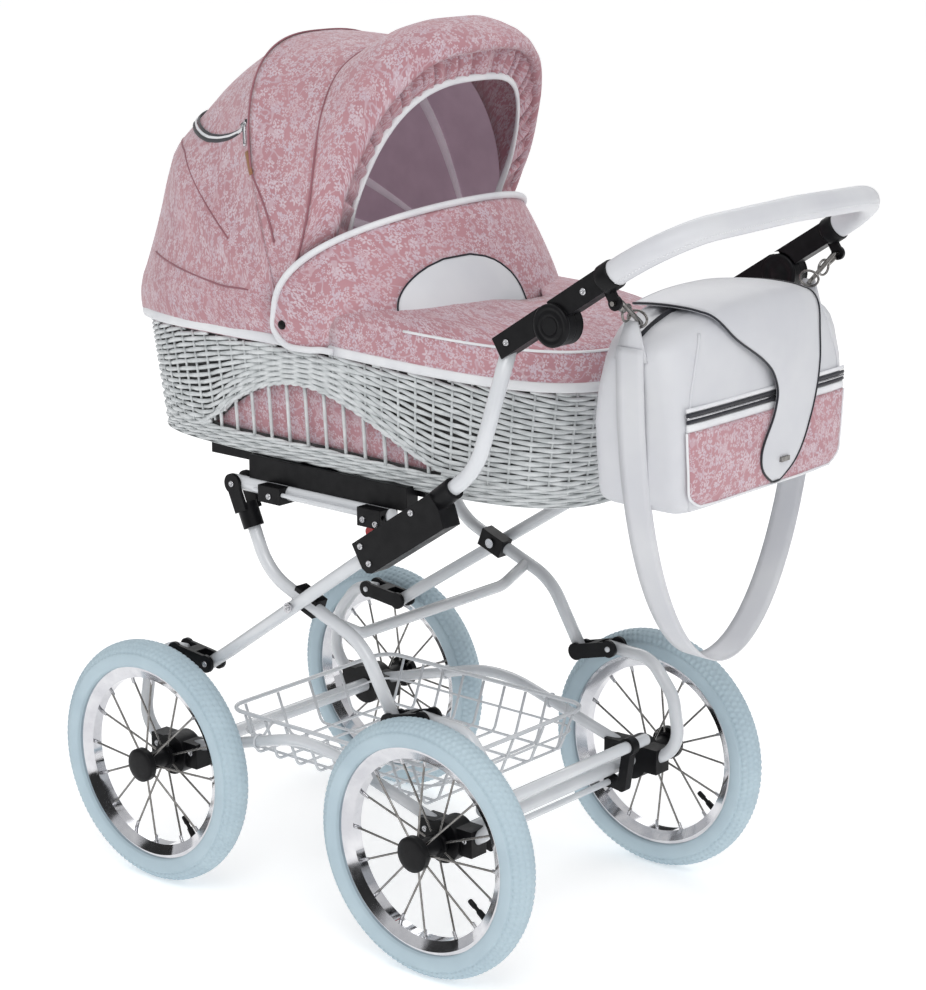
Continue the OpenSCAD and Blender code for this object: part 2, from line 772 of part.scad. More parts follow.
// Basket with an arched window in each long side, closed by upright stakes
window_l = 438;
window_h = 79;
window_x = 16;
window_z = 28.5;
window_skew = 0.85;
function window_rise(u) = window_h * pow(max(0, sin(180 * pow(u, window_skew))), 1.3);
function window_at(u) = window_x + window_l * (u - 0.5);
module window_shape() {
  steps = 16;
  sill = basket_z + window_z;
  polygon(concat(
    [for (k = [0 : steps]) [window_at(k / steps), sill + window_rise(k / steps)]],
    [[window_at(1), sill - 0.5], [window_at(0), sill - 0.5]]));
}
module wicker_basket() {
  stakes = 12;
  stake_d = 5;
  margin = wall_at(basket_z + window_z) + wicker_t / 2;
  color("white") {
    difference() {
      loft([
        basket_oval(basket_z, 0), basket_oval(rim_z, 0), basket_oval(rim_z, wicker_t),
        basket_oval(basket_z + floor_t, wicker_t)]);
      slab(-basket_b, basket_b) window_shape();
    }
    both_sides() for (k = [1 : stakes]) {
      u = k / (stakes + 1);
      x = window_at(u);
      y = (basket_b - margin) * pow(1 - pow(abs(x) / (basket_a - 2 * margin), oval_n), 1 / oval_n);
      rise = window_rise(u) + stake_d;
      lean = basket_taper * rise / basket_h;
      rod([x, y, basket_z + window_z - 4], [x, y + lean, basket_z + window_z + rise], stake_d);
    }
  }
}
module lining() {
  t = 4;
  low = basket_z + floor_t + seat_gap;
  m = wicker_t + seat_gap;
  color("pink") loft([
    basket_oval(low, m), basket_oval(rim_z, m), basket_oval(rim_z, m + t), basket_oval(low + t, m + t)]);
}
// Mattress: crowned, with its sides drawn in above and below the middle
module mattress() {
  low = basket_z + floor_t + seat_gap + 4 + seat_gap;
  m = wicker_t + 8;
  color("white") loft([
    for (s = [[0, 14], [0.15, 5], [0.5, 0], [0.85, 6], [1, 20], [1.12, 70], [1.16, 130]])
      let (z = low + mattress_t * s[0] / 1.16) basket_oval(z, m + s[1])]);
}

// Hood: arches that fan about the pivots, wider apart at the ridge than at the foot
function sag_at(a, t) = visor_sag * min(1, max(0, (bow_a - a) / (bow_a - visor_back))) * pow(abs(t) / 90, 3);
function arch(a, r, b) = [for (k = [0 : hood_steps]) let (t = 180 * k / hood_steps - 90)
  let (q = hood_foot + (r - hood_foot) * pow(max(0, cos(t)), 2 / hood_n))
  at_y(hood_pivot + pol(q, a - sag_at(a, t)), b * sgn_pow(sin(t), 2 / hood_n))];
// Ridge radius: full at the back, less towards the visor
function ridge_r(a) = hood_r - hood_lean * (1 - sin(min(90, 1.2 * (a - visor_back))));
// Skirt below the fan, reaching forward under the pivots at its two ends
function skirt(row, h) = [for (k = [0 : hood_steps])
  row[k] + [h * 60 * pow(abs(2 * k / hood_steps - 1), 8), 0, -h * (hood_pivot_h - seat_gap)]];
function rear_rows(d) = concat(
  [for (a = [bow_a + 2 : (180 - bow_a - 2) / 6 : 180.01]) arch(a, ridge_r(a) - d, hood_b - d)],
  [for (h = [0.5, 1]) skirt(arch(180, ridge_r(180) - d, hood_b - d), h)]);
module hood_rear_panel() {
  color("pink") sheet(rear_rows(0), rear_rows(hood_t));
}
module hood_front_panel() {
  angles = [for (a = [visor_back + 0.6 : (bow_a - visor_back - 2.4) / 4 : bow_a - 1.7]) a];
  color("pink") sheet(
    [for (a = angles) arch(a, ridge_r(a), hood_b)],
    [for (a = angles) arch(a, ridge_r(a) - hood_t, hood_b - hood_t)]);
}
module hood_bow() {
  angles = [bow_a - 1.3, bow_a + 1.3];
  color("silver") {
    sheet(
      [for (a = angles) arch(a, ridge_r(a) - 1, hood_b - 1)],
      [for (a = angles) arch(a, ridge_r(a) - hood_t, hood_b - hood_t)]);
    both_sides() hood_arm(bow_a, hood_b - hood_t - arm_gap);
  }
}
// Hinge of the hood: a plate with a pin on each side, and an arm for each moving arch
hinge_step = 5;
module hood_arm(a, y) {
  difference() {
    union() {
      disc(hood_pivot, 40, y - hinge_step + side_gap, y);
      bar(hood_pivot, a, 0, 58, 14, y - hinge_step + side_gap, y);
    }
    disc(hood_pivot, pin_d + 2 * run_fit, y - hinge_step, y + 1);
  }
}
module hood_hinges() {
  y = hood_b - hood_t - arm_gap - 2 * hinge_step;
  plate_w = 34;
  plate_foot = 14;
  color("silver") both_sides() {
    disc(hood_pivot, plate_w, y - hinge_step + side_gap, y);
    bar(hood_pivot, -90, 0, hood_pivot_h + plate_foot, plate_w, y - hinge_step + side_gap, y);
    disc(hood_pivot, pin_d, y, hood_b - hood_t - arm_gap);
  }
}
// Visor: a padded roll around the mouth of the hood, deepest at its front
visor_front = 58;
visor_in_r = ridge_r(visor_back) - hood_t - 6;
visor_seat = 0.5;
visor_pinch = 14;
function visor_in(a) = visor_pinch * (visor_back - a) / (visor_back - visor_front);
visor_arm_y = hood_b - hood_t - arm_gap - hinge_step;
visor_arm_a = visor_a - 0.85 * visor_sag;
function visor_r(a) = let (u = (visor_back - a) / (visor_back - visor_front))
  ridge_r(visor_back) - 4 + visor_bulge * pow(sin(119 * pow(u, 1.35)), 0.8);
module hood_visor() {
  angles = [for (k = [0 : 6]) visor_front + (visor_back - visor_front) * k / 6];
  color("pink") {
    sheet(
      [for (a = angles) arch(a, visor_r(a), hood_b - visor_in(a))],
      [for (a = angles) arch(a, visor_in_r, visor_arm_y - visor_seat - visor_in(a))]);
    both_sides() hood_arm(visor_arm_a, visor_arm_y);
  }
}

// Apron: a padded cover over the foot half, hollow below, open towards the hood
function lid_oval(m, z) = [for (k = [0 : oval_steps]) let (t = 176 * k / oval_steps - 88)
  [apron_x + m + (basket_a - apron_x - 2 * m) * pow(max(0, cos(t)), 2 / oval_n),
    (basket_b - 2 - m) * sgn_pow(sin(t), 2 / oval_n), z]];
module apron() {
  t = 11;
  z0 = rim_z + seat_gap;
  top = rim_z + apron_h;
  mouth_l = lid_oval(t, z0)[0][0] - apron_x + 3;
  crown = [[0, 0], [14, 8], [60, 18], [110, 22]];
  color("pink") difference() {
    loft(concat([lid_oval(0, z0)], [for (s = crown) lid_oval(s[0], top + s[1])]));
    loft([lid_oval(t, z0 - 1), lid_oval(t, top - t), lid_oval(40, top - t + 6)]);
    translate([apron_x - 1, t - basket_b, z0 - 1]) cube([mouth_l, 2 * (basket_b - t) - 8, apron_h - t]);
  }
}
// Wind flap: a standing panel across the bassinet with a wing along each side
function flap_row(x0, l, b, low, high) = [for (k = [0 : hood_steps]) let (t = 180 * k / hood_steps - 90)
  let (c = pow(max(0, cos(t)), 2 / oval_n))
  [x0 + l * c, b * sgn_pow(sin(t), 2 / oval_n), low + (high - low) * sqrt(c)]];
function flap_rows(d) = [for (s = [0 : 0.25 : 1])
  [for (k = [0 : hood_steps]) let (
    foot = flap_row(flap_x, flap_len - d, flap_b - d, 0, 0)[k],
    edge = flap_row(flap_x, flap_len - 40 - d, flap_b - d, rim_z + 42, rim_z + flap_h)[k],
    wing = foot[0] < apron_x - 8,
    low = wing ? rim_z + seat_gap : rim_z + apron_h + 24)
    [foot[0] + s * (edge[0] - foot[0]), foot[1] + s * (edge[1] - foot[1]), low + s * (edge[2] - low)]]];
module wind_flap() {
  color("pink") sheet(flap_rows(0), flap_rows(hood_t - 1));
}

// Bag: a soft-edged body on two hooks, with a hinged flap and a strap
function bag_ring(d, w, z) = [for (k = [0 : oval_steps - 1]) let (t = 360 * k / oval_steps)
  [bag_x + d * sgn_pow(cos(t), 0.35), w * sgn_pow(sin(t), 0.35), z]];
bag_flare = 36;
bag_edge = 12;
function bag_side(z) = push_y - bag_side_in + bag_flare * (z - bag_z) / bag_h;
module bag_body() {
  rows = [[0, 12], [bag_edge, 0], [bag_h / 2, 0], [bag_h - 2 * bag_edge, 0], [bag_h - 8, 12], [bag_h, 30]];
  color("white") loft([for (s = rows)
    bag_ring(bag_half - s[1], bag_side(bag_z + s[0]) - s[1], bag_z + s[0])]);
}
flap_t = 4;
bag_flap_pivot = [bag_x - bag_half + 14, bag_top + flap_t];
module bag_flap() {
  gap = seat_gap + 0.5;
  front = bag_x + bag_half + gap;
  top = bag_top + gap;
  // Rows over the top: place in side view, left and right edge, lift of the outer face along X and Z
  over = [
    [bag_flap_pivot[0], top, -120, 120, 0, 1], [bag_x, top, -118, 118, 0, 1],
    [front - 24, top, -114, 113, 0.2, 1], [front - 0.5, top - 14, -106, 108, 0.9, 0.6]];
  // Rows down the front: share of the hang, left and right edge
  down = [
    [0.15, -85, 104], [0.26, -46, 101], [0.38, -4, 100], [0.51, 12, 99], [0.64, 8, 98],
    [0.8, -5, 93], [0.9, -1, 82], [0.966, 13, 62], [1, 26, 44]];
  rows = concat(over, [for (d = down) [front, top - d[0] * flap_hang, d[1], d[2], 1, 0]]);
  cols = 8;
  function face(t) = [for (r = rows) [for (j = [0 : cols])
    [r[0] + t * r[4], r[2] + (r[3] - r[2]) * j / cols, r[1] + t * r[5]]]];
  color("white") sheet(face(flap_t), face(0));
}
lock_z = bag_top - 0.88 * flap_hang;
lock_y = 24;
module turn_lock() {
  face = bag_x + bag_half + seat_gap + 0.5 + flap_t;
  color("silver") {
    translate([face, lock_y, lock_z]) rotate([0, 90, 0]) cylinder(h = 3, d = 20);
    translate([face + 3, lock_y - 9, lock_z - 3]) cube([5, 18, 6]);
  }
}
module bag_strap() {
  t = 3;
  top = bag_top - 44;
  low = bag_z - strap_drop;
  y0 = bag_side(top) + seat_gap + t;
  turns = 20;
  loop = [for (k = [0 : turns]) let (a = 180 * k / turns) [
    -y0 * cos(a) * (1 - 0.1 * sin(a)), top - (top - low) * pow(sin(a), 0.8)]];
  function offset_at(k, d) = let (u = unit(loop[min(k + 1, turns)] - loop[max(k - 1, 0)]))
    loop[k] + d * [-u[1], u[0]];
  function face(d) = [for (k = [0 : turns]) let (p = offset_at(k, d))
    [for (x = [-0.5, 0, 0.5]) [bag_x + x * strap_w, p[0], p[1]]]];
  color("white") sheet(face(0), face(t));
}
module bag_hooks() {
  shank_y = push_y - 11;
  bag_y = bag_side(bag_top) - 15;
  points = [at_y(hook, push_y + 7), at_y(hook, shank_y), [hook[0] - 6, bag_y, bag_top - 16]];
  color("silver") both_sides() sweep(rounded(points, 6, 4), wire_d, [1, 0, 0], 24);
}

for (i = [0 : 3]) {
  placed() at_wheel(i) tyre();
  placed() at_wheel(i) rim();
  placed() at_wheel(i) spokes();
  placed() at_wheel(i) hub();
}
placed() side_tubes();
placed() cross_tube(front_x);  // front_cross_tube
placed() cross_tube(rear_x);  // rear_cross_tube
placed() spring_tubes();
placed() axle_brackets();
placed() stub_axles();
placed() shopping_tray();
placed() brake_bar();
placed() brake_arms();
placed() front_links();
placed() rear_links();
placed() fold_tubes();
placed() fold_boxes();
placed() push_tubes();
placed() handle_arms();
placed() legs();
placed() leg_brace();
placed() pivot_blocks();
placed() pivot_pins();
placed() leg_elbows();
placed() rails();
placed() rail_brackets();
placed() release_wires();
placed() red_levers();
placed() handle_joints();
placed() grip();
placed() button_left();
placed() button_right();
placed() base_frame();
placed() wicker_basket();
placed() lining();
placed() mattress();
placed() apron();
placed() wind_flap();
placed() hood_rear_panel();
placed() hood_front_panel();
placed() hood_bow();
placed() hood_visor();
placed() hood_hinges();
placed() bag_body();
placed() bag_flap();
placed() bag_strap();
placed() bag_hooks();
placed() turn_lock();
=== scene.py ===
# Bassinet pram: the looks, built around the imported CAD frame.
# Lengths are millimetres in the CAD's own axes until row() turns them into metres of the row frame.
from math import acos, atan2, cos, degrees, pi, radians, sin, sqrt, tan

import bpy
import numpy as np
from mathutils import Matrix, Vector, noise


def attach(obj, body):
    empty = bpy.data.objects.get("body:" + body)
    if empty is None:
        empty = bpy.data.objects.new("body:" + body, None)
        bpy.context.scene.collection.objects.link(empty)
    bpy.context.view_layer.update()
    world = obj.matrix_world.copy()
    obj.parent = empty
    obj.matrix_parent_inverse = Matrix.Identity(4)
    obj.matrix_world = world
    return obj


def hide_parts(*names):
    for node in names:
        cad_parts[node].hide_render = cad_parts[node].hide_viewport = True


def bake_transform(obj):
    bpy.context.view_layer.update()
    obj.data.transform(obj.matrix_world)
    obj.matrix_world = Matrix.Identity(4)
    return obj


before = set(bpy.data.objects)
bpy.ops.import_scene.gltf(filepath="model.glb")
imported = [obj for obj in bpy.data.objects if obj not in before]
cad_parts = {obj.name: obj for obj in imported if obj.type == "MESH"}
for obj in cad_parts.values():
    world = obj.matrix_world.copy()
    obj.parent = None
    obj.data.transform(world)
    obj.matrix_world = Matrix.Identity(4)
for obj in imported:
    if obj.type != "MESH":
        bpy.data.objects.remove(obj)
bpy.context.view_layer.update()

ALONG, ACROSS, UP = (1, 0, 0), (0, 1, 0), (0, 0, 1)


def vec(*p):
    return np.array(p, float)


def pol(r, a):
    return vec(r * cos(radians(a)), r * sin(radians(a)))


def angle(v):
    return degrees(atan2(v[1], v[0]))


def at_y(p, y):
    return vec(p[0], y, p[1])


def row(points):
    p = np.array(points, float).reshape(-1, 3)
    p[:, 0] -= X_MID
    return p / 1000


def unit(v):
    """v, or each row of v, at length 1."""
    return v / np.linalg.norm(v, axis=-1, keepdims=True)


def turns(n):
    """Angles of n equal steps round a full turn."""
    return np.linspace(0, 2 * pi, n, endpoint=False)


def cos_sin(t):
    return np.cos(t), np.sin(t)


def power(v, n):
    """The size of v to the power n, with v's sign."""
    return np.sign(v) * np.abs(v) ** n


def spans(path):
    """Lengths from point to point of a path."""
    return np.linalg.norm(np.diff(path, axis=0), axis=1)


# Stations of the CAD model in side view
X_MID = 104.24163
AXLE_Z = 175.0
FRONT_X, REAR_X = -254.5, 254.5
WHEEL_Y, FRAME_Y, PUSH_Y = 251.5, 200.0, 238.0
MIRROR = vec(1, -1, 1)
FRONT_PIN_OUT = vec(FRONT_X + 5, AXLE_Z + 154)
FRONT_PIN_IN = FRONT_PIN_OUT + pol(62, -6.5)
REAR_PIN_OUT = vec(REAR_X - 42, AXLE_Z + 154)
REAR_PIN_IN = REAR_PIN_OUT + pol(60, 195)
CROSS = vec(-3, AXLE_Z + 271)
ELBOW = vec(-126, AXLE_Z + 417)
LEG_SLOPE = -21
KNEE = CROSS + pol(75, 180 + LEG_SLOPE)
HIP = CROSS + pol(108, LEG_SLOPE)
LEG_TOP = ELBOW + pol(32, angle(KNEE - ELBOW))
LEG_FOOT = REAR_PIN_IN + pol(8, angle(REAR_PIN_IN - HIP))
FOLD_A = angle(CROSS - FRONT_PIN_IN)
BOX_O = FRONT_PIN_IN + pol(390, FOLD_A)
PUSH_START = BOX_O + pol(115, FOLD_A) + pol(8, FOLD_A + 90)
PUSH_CORNER = PUSH_START + pol(126, 38)
PUSH_TOP = PUSH_CORNER + pol(177, 72)
ARM_A = 33
ARM_END = PUSH_TOP + pol(177, ARM_A)
HINGE = PUSH_TOP + pol(78, ARM_A) + pol(14, ARM_A - 90)
HOOK = ARM_END + pol(11, ARM_A + 180) + pol(30, ARM_A - 90)
RIM_Z, BASKET_Z = 792.3, 634.3
BASKET_H = RIM_Z - BASKET_Z
BASKET_A, BASKET_B, BASKET_LEAN = 405, 210, 12
HOOD_PIVOT = vec(-40, RIM_Z + 57)
BAG_X = HOOK[0] - 12
BAG_TOP = HOOK[1] - 17
BAG_H, BAG_SAG = 248, 46
BAG_Z = BAG_TOP - BAG_H


# Materials
def srgb(r, g, b):
    return [((c / 255 + 0.055) / 1.055) ** 2.4 if c > 10 else c / 3294 for c in (r, g, b)] + [1.0]


def put(socket, v):
    if isinstance(v, bpy.types.NodeSocket):
        socket.id_data.links.new(v, socket)
    elif v is not None:
        socket.default_value = v


def nd(near, kind, *ins, named=None, **props):
    """A shader node in near's tree: ins fill its sockets in order, named by their names, props set its options."""
    n = near.id_data.nodes.new("ShaderNode" + kind)
    for k, v in props.items():
        setattr(n, k, v)
    for k, v in [*enumerate(ins), *(named or {}).items()]:
        put(n.inputs[k], v)
    return n


def calc(op, *ins, clamp=False):
    near = next(v for v in ins if isinstance(v, bpy.types.NodeSocket))
    return nd(near, "Math", *ins, operation=op, use_clamp=clamp).outputs[0]


def shifted(uv, by):
    return nd(uv, "VectorMath", uv, by, operation="ADD").outputs[0]


def mix(factor, a, b):
    return nd(factor, "Mix", named={0: factor, 6: a, 7: b}, data_type="RGBA").outputs[2]


def noise_tex(coords, scale, detail=3.0, rough=0.55):
    named = {"Vector": coords, "Scale": scale, "Detail": detail, "Roughness": rough}
    return nd(coords, "TexNoise", named=named).outputs[0]


def voronoi(coords, scale, dims="3D", feature="F1", spread=1.0):
    named = {"Vector": coords, "Scale": scale, "Randomness": spread}
    return nd(coords, "TexVoronoi", named=named, voronoi_dimensions=dims, feature=feature)


def ramp(value, low, high):
    return nd(value, "MapRange", named={"Value": value, "From Min": low, "From Max": high}).outputs[0]


def surface(name, rough, metal=0.0, **sockets):
    m = bpy.data.materials.new(name)
    m.use_nodes = True
    bsdf = m.node_tree.nodes["Principled BSDF"]
    for k, v in dict(sockets, Roughness=rough, Metallic=metal).items():
        bsdf.inputs[k.replace("_", " ")].default_value = v
    return m, bsdf


def bump(bsdf, height, strength, distance, normal=None):
    named = {"Strength": strength, "Distance": distance, "Height": height, "Normal": normal}
    put(bsdf.inputs["Normal"], nd(bsdf, "Bump", named=named).outputs[0])


def drifting(bsdf, light, dark, scale, high):
    """Colour that drifts between two tones; gives its coordinates and its drift."""
    where = nd(bsdf, "TexCoord").outputs["Object"]
    drift = ramp(noise_tex(where, scale), 0.35, high)
    put(bsdf.inputs["Base Color"], mix(drift, dark, light))
    return where, drift


def toned(name, light, dark, scale, rough, metal=0.0, grain=900.0, grain_depth=0.0002, strength=0.25, edge=0.0,
          **sockets):
    """A finish whose colour drifts between two tones, with a fine grain in its bump."""
    m, bsdf = surface(name, rough, metal, **sockets)
    where, drift = drifting(bsdf, light, dark, scale, 0.68)
    put(bsdf.inputs["Roughness"], calc("MULTIPLY_ADD", drift, -0.12, rough + 0.06))
    normal = nd(bsdf, "Bevel", edge, samples=4).outputs[0] if edge else None
    bump(bsdf, noise_tex(where, grain, 2.0), strength, grain_depth, normal)
    return m


def blossoms(uv, scale, petals, size, keep, sharp=9.0):
    """Mask of small blossoms, one in each kept cell, each turned its own way."""
    cell = voronoi(uv, scale, "2D", spread=0.85)
    away = nd(uv, "VectorMath", uv, cell.outputs["Position"], operation="SUBTRACT").outputs[0]
    part = nd(uv, "SeparateXYZ", away)
    tint = nd(uv, "SeparateColor", cell.outputs["Color"])
    spin = calc("MULTIPLY", tint.outputs[0], 6.28)
    turn = calc("ADD", calc("ARCTAN2", part.outputs[1], part.outputs[0]), spin)
    wave = calc("COSINE", calc("MULTIPLY", turn, float(petals)))
    reach = calc("MULTIPLY_ADD", wave, size * 0.36, size * 0.64)
    near = calc("SUBTRACT", reach, cell.outputs["Distance"])
    petal = calc("MULTIPLY", near, sharp, clamp=True)
    heart = ramp(cell.outputs["Distance"], size * 0.16, size * 0.24)
    kept = calc("LESS_THAN", tint.outputs[1], keep)
    return calc("MULTIPLY", calc("MULTIPLY", petal, heart), kept)


def print_cloth(name, ground, ground_dark, bloom, bloom_cool):
    """Printed cotton: sprays of small blossoms, leaves and stems on a plain ground."""
    m, bsdf = surface(name, 0.82, Sheen_Weight=0.25, Sheen_Roughness=0.5)
    uv = nd(bsdf, "TexCoord").outputs["UV"]
    bend = noise_tex(uv, 26.0, 1.0)
    bent = shifted(uv, nd(uv, "VectorMath", bend, (0.012, 0.012, 0.0), operation="MULTIPLY").outputs[0])
    large = blossoms(bent, 62.0, 5, 0.50, 0.72)
    small = blossoms(shifted(bent, (3.1, 1.7, 0.0)), 105.0, 5, 0.46, 0.62)
    leaves = blossoms(shifted(bent, (7.3, 4.9, 0.0)), 130.0, 2, 0.52, 0.60, 7.0)
    line = calc("ABSOLUTE", calc("SUBTRACT", noise_tex(uv, 30.0, 1.5), 0.5))
    stems = calc("SUBTRACT", 1.0, ramp(line, 0.008, 0.022), clamp=True)
    mask = calc("MAXIMUM", calc("MAXIMUM", large, small), calc("MULTIPLY", leaves, 0.85))
    mask = calc("MAXIMUM", mask, calc("MULTIPLY", stems, 0.55))
    patchy = ramp(noise_tex(uv, 14.0, 2.0), 0.30, 0.55)
    mask = calc("MULTIPLY", mask, calc("MULTIPLY_ADD", patchy, 0.35, 0.60))
    cool = ramp(noise_tex(uv, 45.0, 2.0), 0.4, 0.6)
    base = mix(ramp(noise_tex(uv, 9.0), 0.35, 0.65), ground_dark, ground)
    put(bsdf.inputs["Base Color"], mix(mask, base, mix(cool, bloom_cool, bloom)))
    part = nd(uv, "SeparateXYZ", uv)
    threads = [calc("SINE", calc("MULTIPLY", part.outputs[i], 5200.0)) for i in (0, 1)]
    weave = calc("MULTIPLY", *threads)
    bump(bsdf, calc("MULTIPLY_ADD", weave, 0.04, noise_tex(uv, 18.0)), 0.35, 0.004)
    return m


def plain_cloth(name, light, dark, rough=0.8, painted_glow=0.0):
    """Plain woven cloth; its last argument is painted light: a glow in the cloth's own light tone at that strength."""
    m, bsdf = surface(name, rough, Sheen_Weight=0.2, Sheen_Roughness=0.5, Emission_Color=light,
                      Emission_Strength=painted_glow)
    where, _ = drifting(bsdf, light, dark, 16.0, 0.65)
    knots = voronoi(where, 700.0).outputs["Distance"]
    bump(bsdf, calc("MULTIPLY_ADD", knots, 0.15, noise_tex(where, 22.0)), 0.3, 0.003)
    return m


def hide(name, light, dark):
    """Grained leatherette with a soft gloss."""
    m, bsdf = surface(name, 0.42, Coat_Weight=0.12, Coat_Roughness=0.35)
    where, _ = drifting(bsdf, light, dark, 9.0, 0.66)
    cells = voronoi(where, 620.0, feature="DISTANCE_TO_EDGE").outputs["Distance"]
    slack = noise_tex(where, 30.0, 2.0)
    bump(bsdf, calc("MULTIPLY_ADD", ramp(cells, 0.0, 0.12), 0.12, slack), 0.3, 0.002)
    return m


TYRE = toned("tyre_rubber", srgb(184, 203, 212), srgb(176, 195, 205), 14, 0.62, grain=1400, strength=0.35)
CHROME = toned("chrome_plate", [0.70, 0.70, 0.72, 1], [0.58, 0.58, 0.61, 1], 30, 0.10, 1.0, grain=300, strength=0.02)
BLACK = toned("black_moulding", [0.006, 0.006, 0.007, 1], [0.003, 0.003, 0.004, 1], 60, 0.40, grain=1600,
              strength=0.35, edge=0.0016, Specular_IOR_Level=0.18)
WHITE = toned("white_enamel", srgb(216, 218, 221), srgb(207, 210, 214), 12, 0.20, grain=120, strength=0.05,
              Coat_Weight=0.4, Coat_Roughness=0.12)
RED = toned("red_moulding", srgb(196, 22, 26), srgb(168, 14, 18), 50, 0.30, strength=0.15, edge=0.001)
STEEL = toned("bright_steel", [0.62, 0.62, 0.64, 1], [0.46, 0.46, 0.48, 1], 90, 0.24, 1.0, grain=800, strength=0.08)
CANE = toned("painted_cane", srgb(216, 219, 220), srgb(192, 196, 197), 55, 0.42, grain=420, grain_depth=0.0006,
             strength=0.4, Coat_Weight=0.15)
# Dark grey for the sheets behind the wicker: painted shade seen in the gaps of the weave.
SHADE = toned("basket_shade", srgb(92, 90, 90), srgb(64, 63, 64), 30, 0.85)
NAVY = plain_cloth("navy_piping", srgb(16, 18, 34), srgb(9, 11, 22), 0.6)
TRIM = plain_cloth("white_binding", srgb(228, 229, 231), srgb(216, 217, 221), 0.7)
# The hood's lining and its tapes glow a little: painted light that brightens the shaded inside of the hood.
LILAC = plain_cloth("hood_lining", srgb(200, 178, 192), srgb(184, 160, 176), 0.85, 0.15)
TAPE = plain_cloth("lining_tape", srgb(218, 208, 216), srgb(200, 190, 200), 0.8, 0.22)
COTTON = plain_cloth("white_cotton", srgb(240, 238, 238), srgb(228, 226, 227), 0.85)
HIDE = hide("white_leatherette", srgb(211, 212, 215), srgb(202, 203, 208))
NICKEL = toned("dark_nickel", [0.30, 0.29, 0.28, 1], [0.20, 0.19, 0.18, 1], 90, 0.26, 1.0, grain=800, strength=0.1,
               edge=0.0005)
TAN = plain_cloth("tan_tab", srgb(150, 106, 72), srgb(128, 86, 56), 0.7)
ROSE = print_cloth("rose_print", srgb(184, 136, 143), srgb(174, 126, 134), srgb(206, 188, 196), srgb(198, 181, 192))
# Seam lines: painted shade of the valleys along the hood's and visor's seams.
ROSE_SEAM_SHADE = plain_cloth("rose_seam_shade", srgb(150, 98, 107), srgb(138, 88, 97), 0.85)


# Mesh building: every shape is points and faces, joined into one piece
def rounded(points, r, steps=10):
    """A path along the points, its corners rounded to the radius r."""
    points = [vec(*p) for p in points]
    out = [points[0]]
    for a, b, c in zip(points, points[1:], points[2:]):
        u, v = unit(b - a), unit(c - b)
        turn = acos(max(-1, min(1, float(u @ v))))
        n = unit(v - (u @ v) * u)
        m = b - u * r * tan(turn / 2) + n * r
        out += [m - n * r * cos(turn * k / steps) + u * r * sin(turn * k / steps) for k in range(steps + 1)]
    return np.array(out + [points[-1]])


def band(a, b, n):
    """Faces between two rings of n points, which start at a and b."""
    return [(a + k, a + (k + 1) % n, b + (k + 1) % n, b + k) for k in range(n)]


def sweep(path, d, n=14, closed=False, ref=None, tall=1.0):
    """A tube along a path; ref is the way its section's first axis keeps, tall stretches it that way."""
    path = np.asarray(path, float)
    m = len(path)
    tangents = unit(np.roll(path, -1, 0) - np.roll(path, 1, 0) if closed else np.gradient(path, axis=0))
    if ref is None:
        side = np.zeros((m, 3))
        g = vec(*UP) if abs(tangents[0][2]) < 0.9 else vec(*ALONG)
        for i in range(m):
            g = unit(g - (g @ tangents[i]) * tangents[i])
            side[i] = g
    else:
        ref = np.broadcast_to(np.asarray(ref, float), path.shape)
        side = unit(ref - (ref * tangents).sum(1)[:, None] * tangents)
    other = np.cross(tangents, side)
    c, s = cos_sin(turns(n)[:, None])
    rings = path[:, None] + d / 2 * (tall * c * side[:, None] + s * other[:, None])
    faces = []
    for i in range(m if closed else m - 1):
        faces += band(i * n, (i + 1) % m * n, n)
    if not closed:
        faces += [tuple(range(n))[::-1], tuple(range((m - 1) * n, m * n))]
    return rings.reshape(-1, 3), faces


def lathe(profile, centre, axis, n=32):
    """A turned shape: profile is (radius, height) pairs along axis, from the middle outwards and down."""
    axis = unit(vec(*axis))
    u = unit(np.cross(axis, vec(*ALONG) if abs(axis[0]) < 0.9 else vec(*UP)))
    v = np.cross(axis, u)
    points, faces = [], []
    for r, h in profile:
        points += [vec(*centre) + axis * h + r * (cos(a) * u + sin(a) * v) for a in turns(n)]
    last = (len(profile) - 1) * n
    for i in range(0, last, n):
        faces += [q[::-1] for q in band(i, i + n, n)]
    return np.array(points), faces + [tuple(range(n)), tuple(range(last, last + n))[::-1]]


def loft(rings, flip=False):
    """A closed shape that joins rings of the same count."""
    n = len(rings[0])
    last = (len(rings) - 1) * n
    faces = [q for i in range(0, last, n) for q in band(i, i + n, n)]
    faces += [tuple(range(n))[::-1], tuple(range(last, last + n))]
    return np.concatenate(rings), [q[::-1] for q in faces] if flip else faces


def join(shapes):
    points, faces, base = [], [], 0
    for p, f in shapes:
        points.append(np.asarray(p, float).reshape(-1, 3))
        faces += [tuple(i + base for i in q) for q in f]
        base += len(points[-1])
    return np.concatenate(points), faces


def both(shapes):
    """The shapes and their mirror images across the middle plane."""
    return list(shapes) + [(np.asarray(p, float).reshape(-1, 3) * MIRROR, [q[::-1] for q in f]) for p, f in shapes]


def linked(name, data):
    ob = bpy.data.objects.new(name, data)
    bpy.context.collection.objects.link(ob)
    return ob


def add(name, shape, mat, body=None, replaces=(), uv=None):
    """A piece of the pram that rides on a body; one without a body is left without a parent."""
    points, faces = shape
    if body in ("bassinet", None):
        points = droop(points)
    mesh = bpy.data.meshes.new(name)
    mesh.from_pydata(row(points).tolist(), [], faces)
    mesh.polygons.foreach_set("use_smooth", [True] * len(mesh.polygons))
    if uv is not None:
        layer = mesh.uv_layers.new(name="UVMap")
        loops = np.zeros(len(mesh.loops), int)
        mesh.loops.foreach_get("vertex_index", loops)
        layer.data.foreach_set("uv", (np.asarray(uv, float)[loops] / 1000).ravel())
    mesh.materials.append(mat)
    mesh.update()
    piece = linked(name, mesh)
    if body:
        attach(piece, body)
    if replaces:
        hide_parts(*replaces)
    return piece


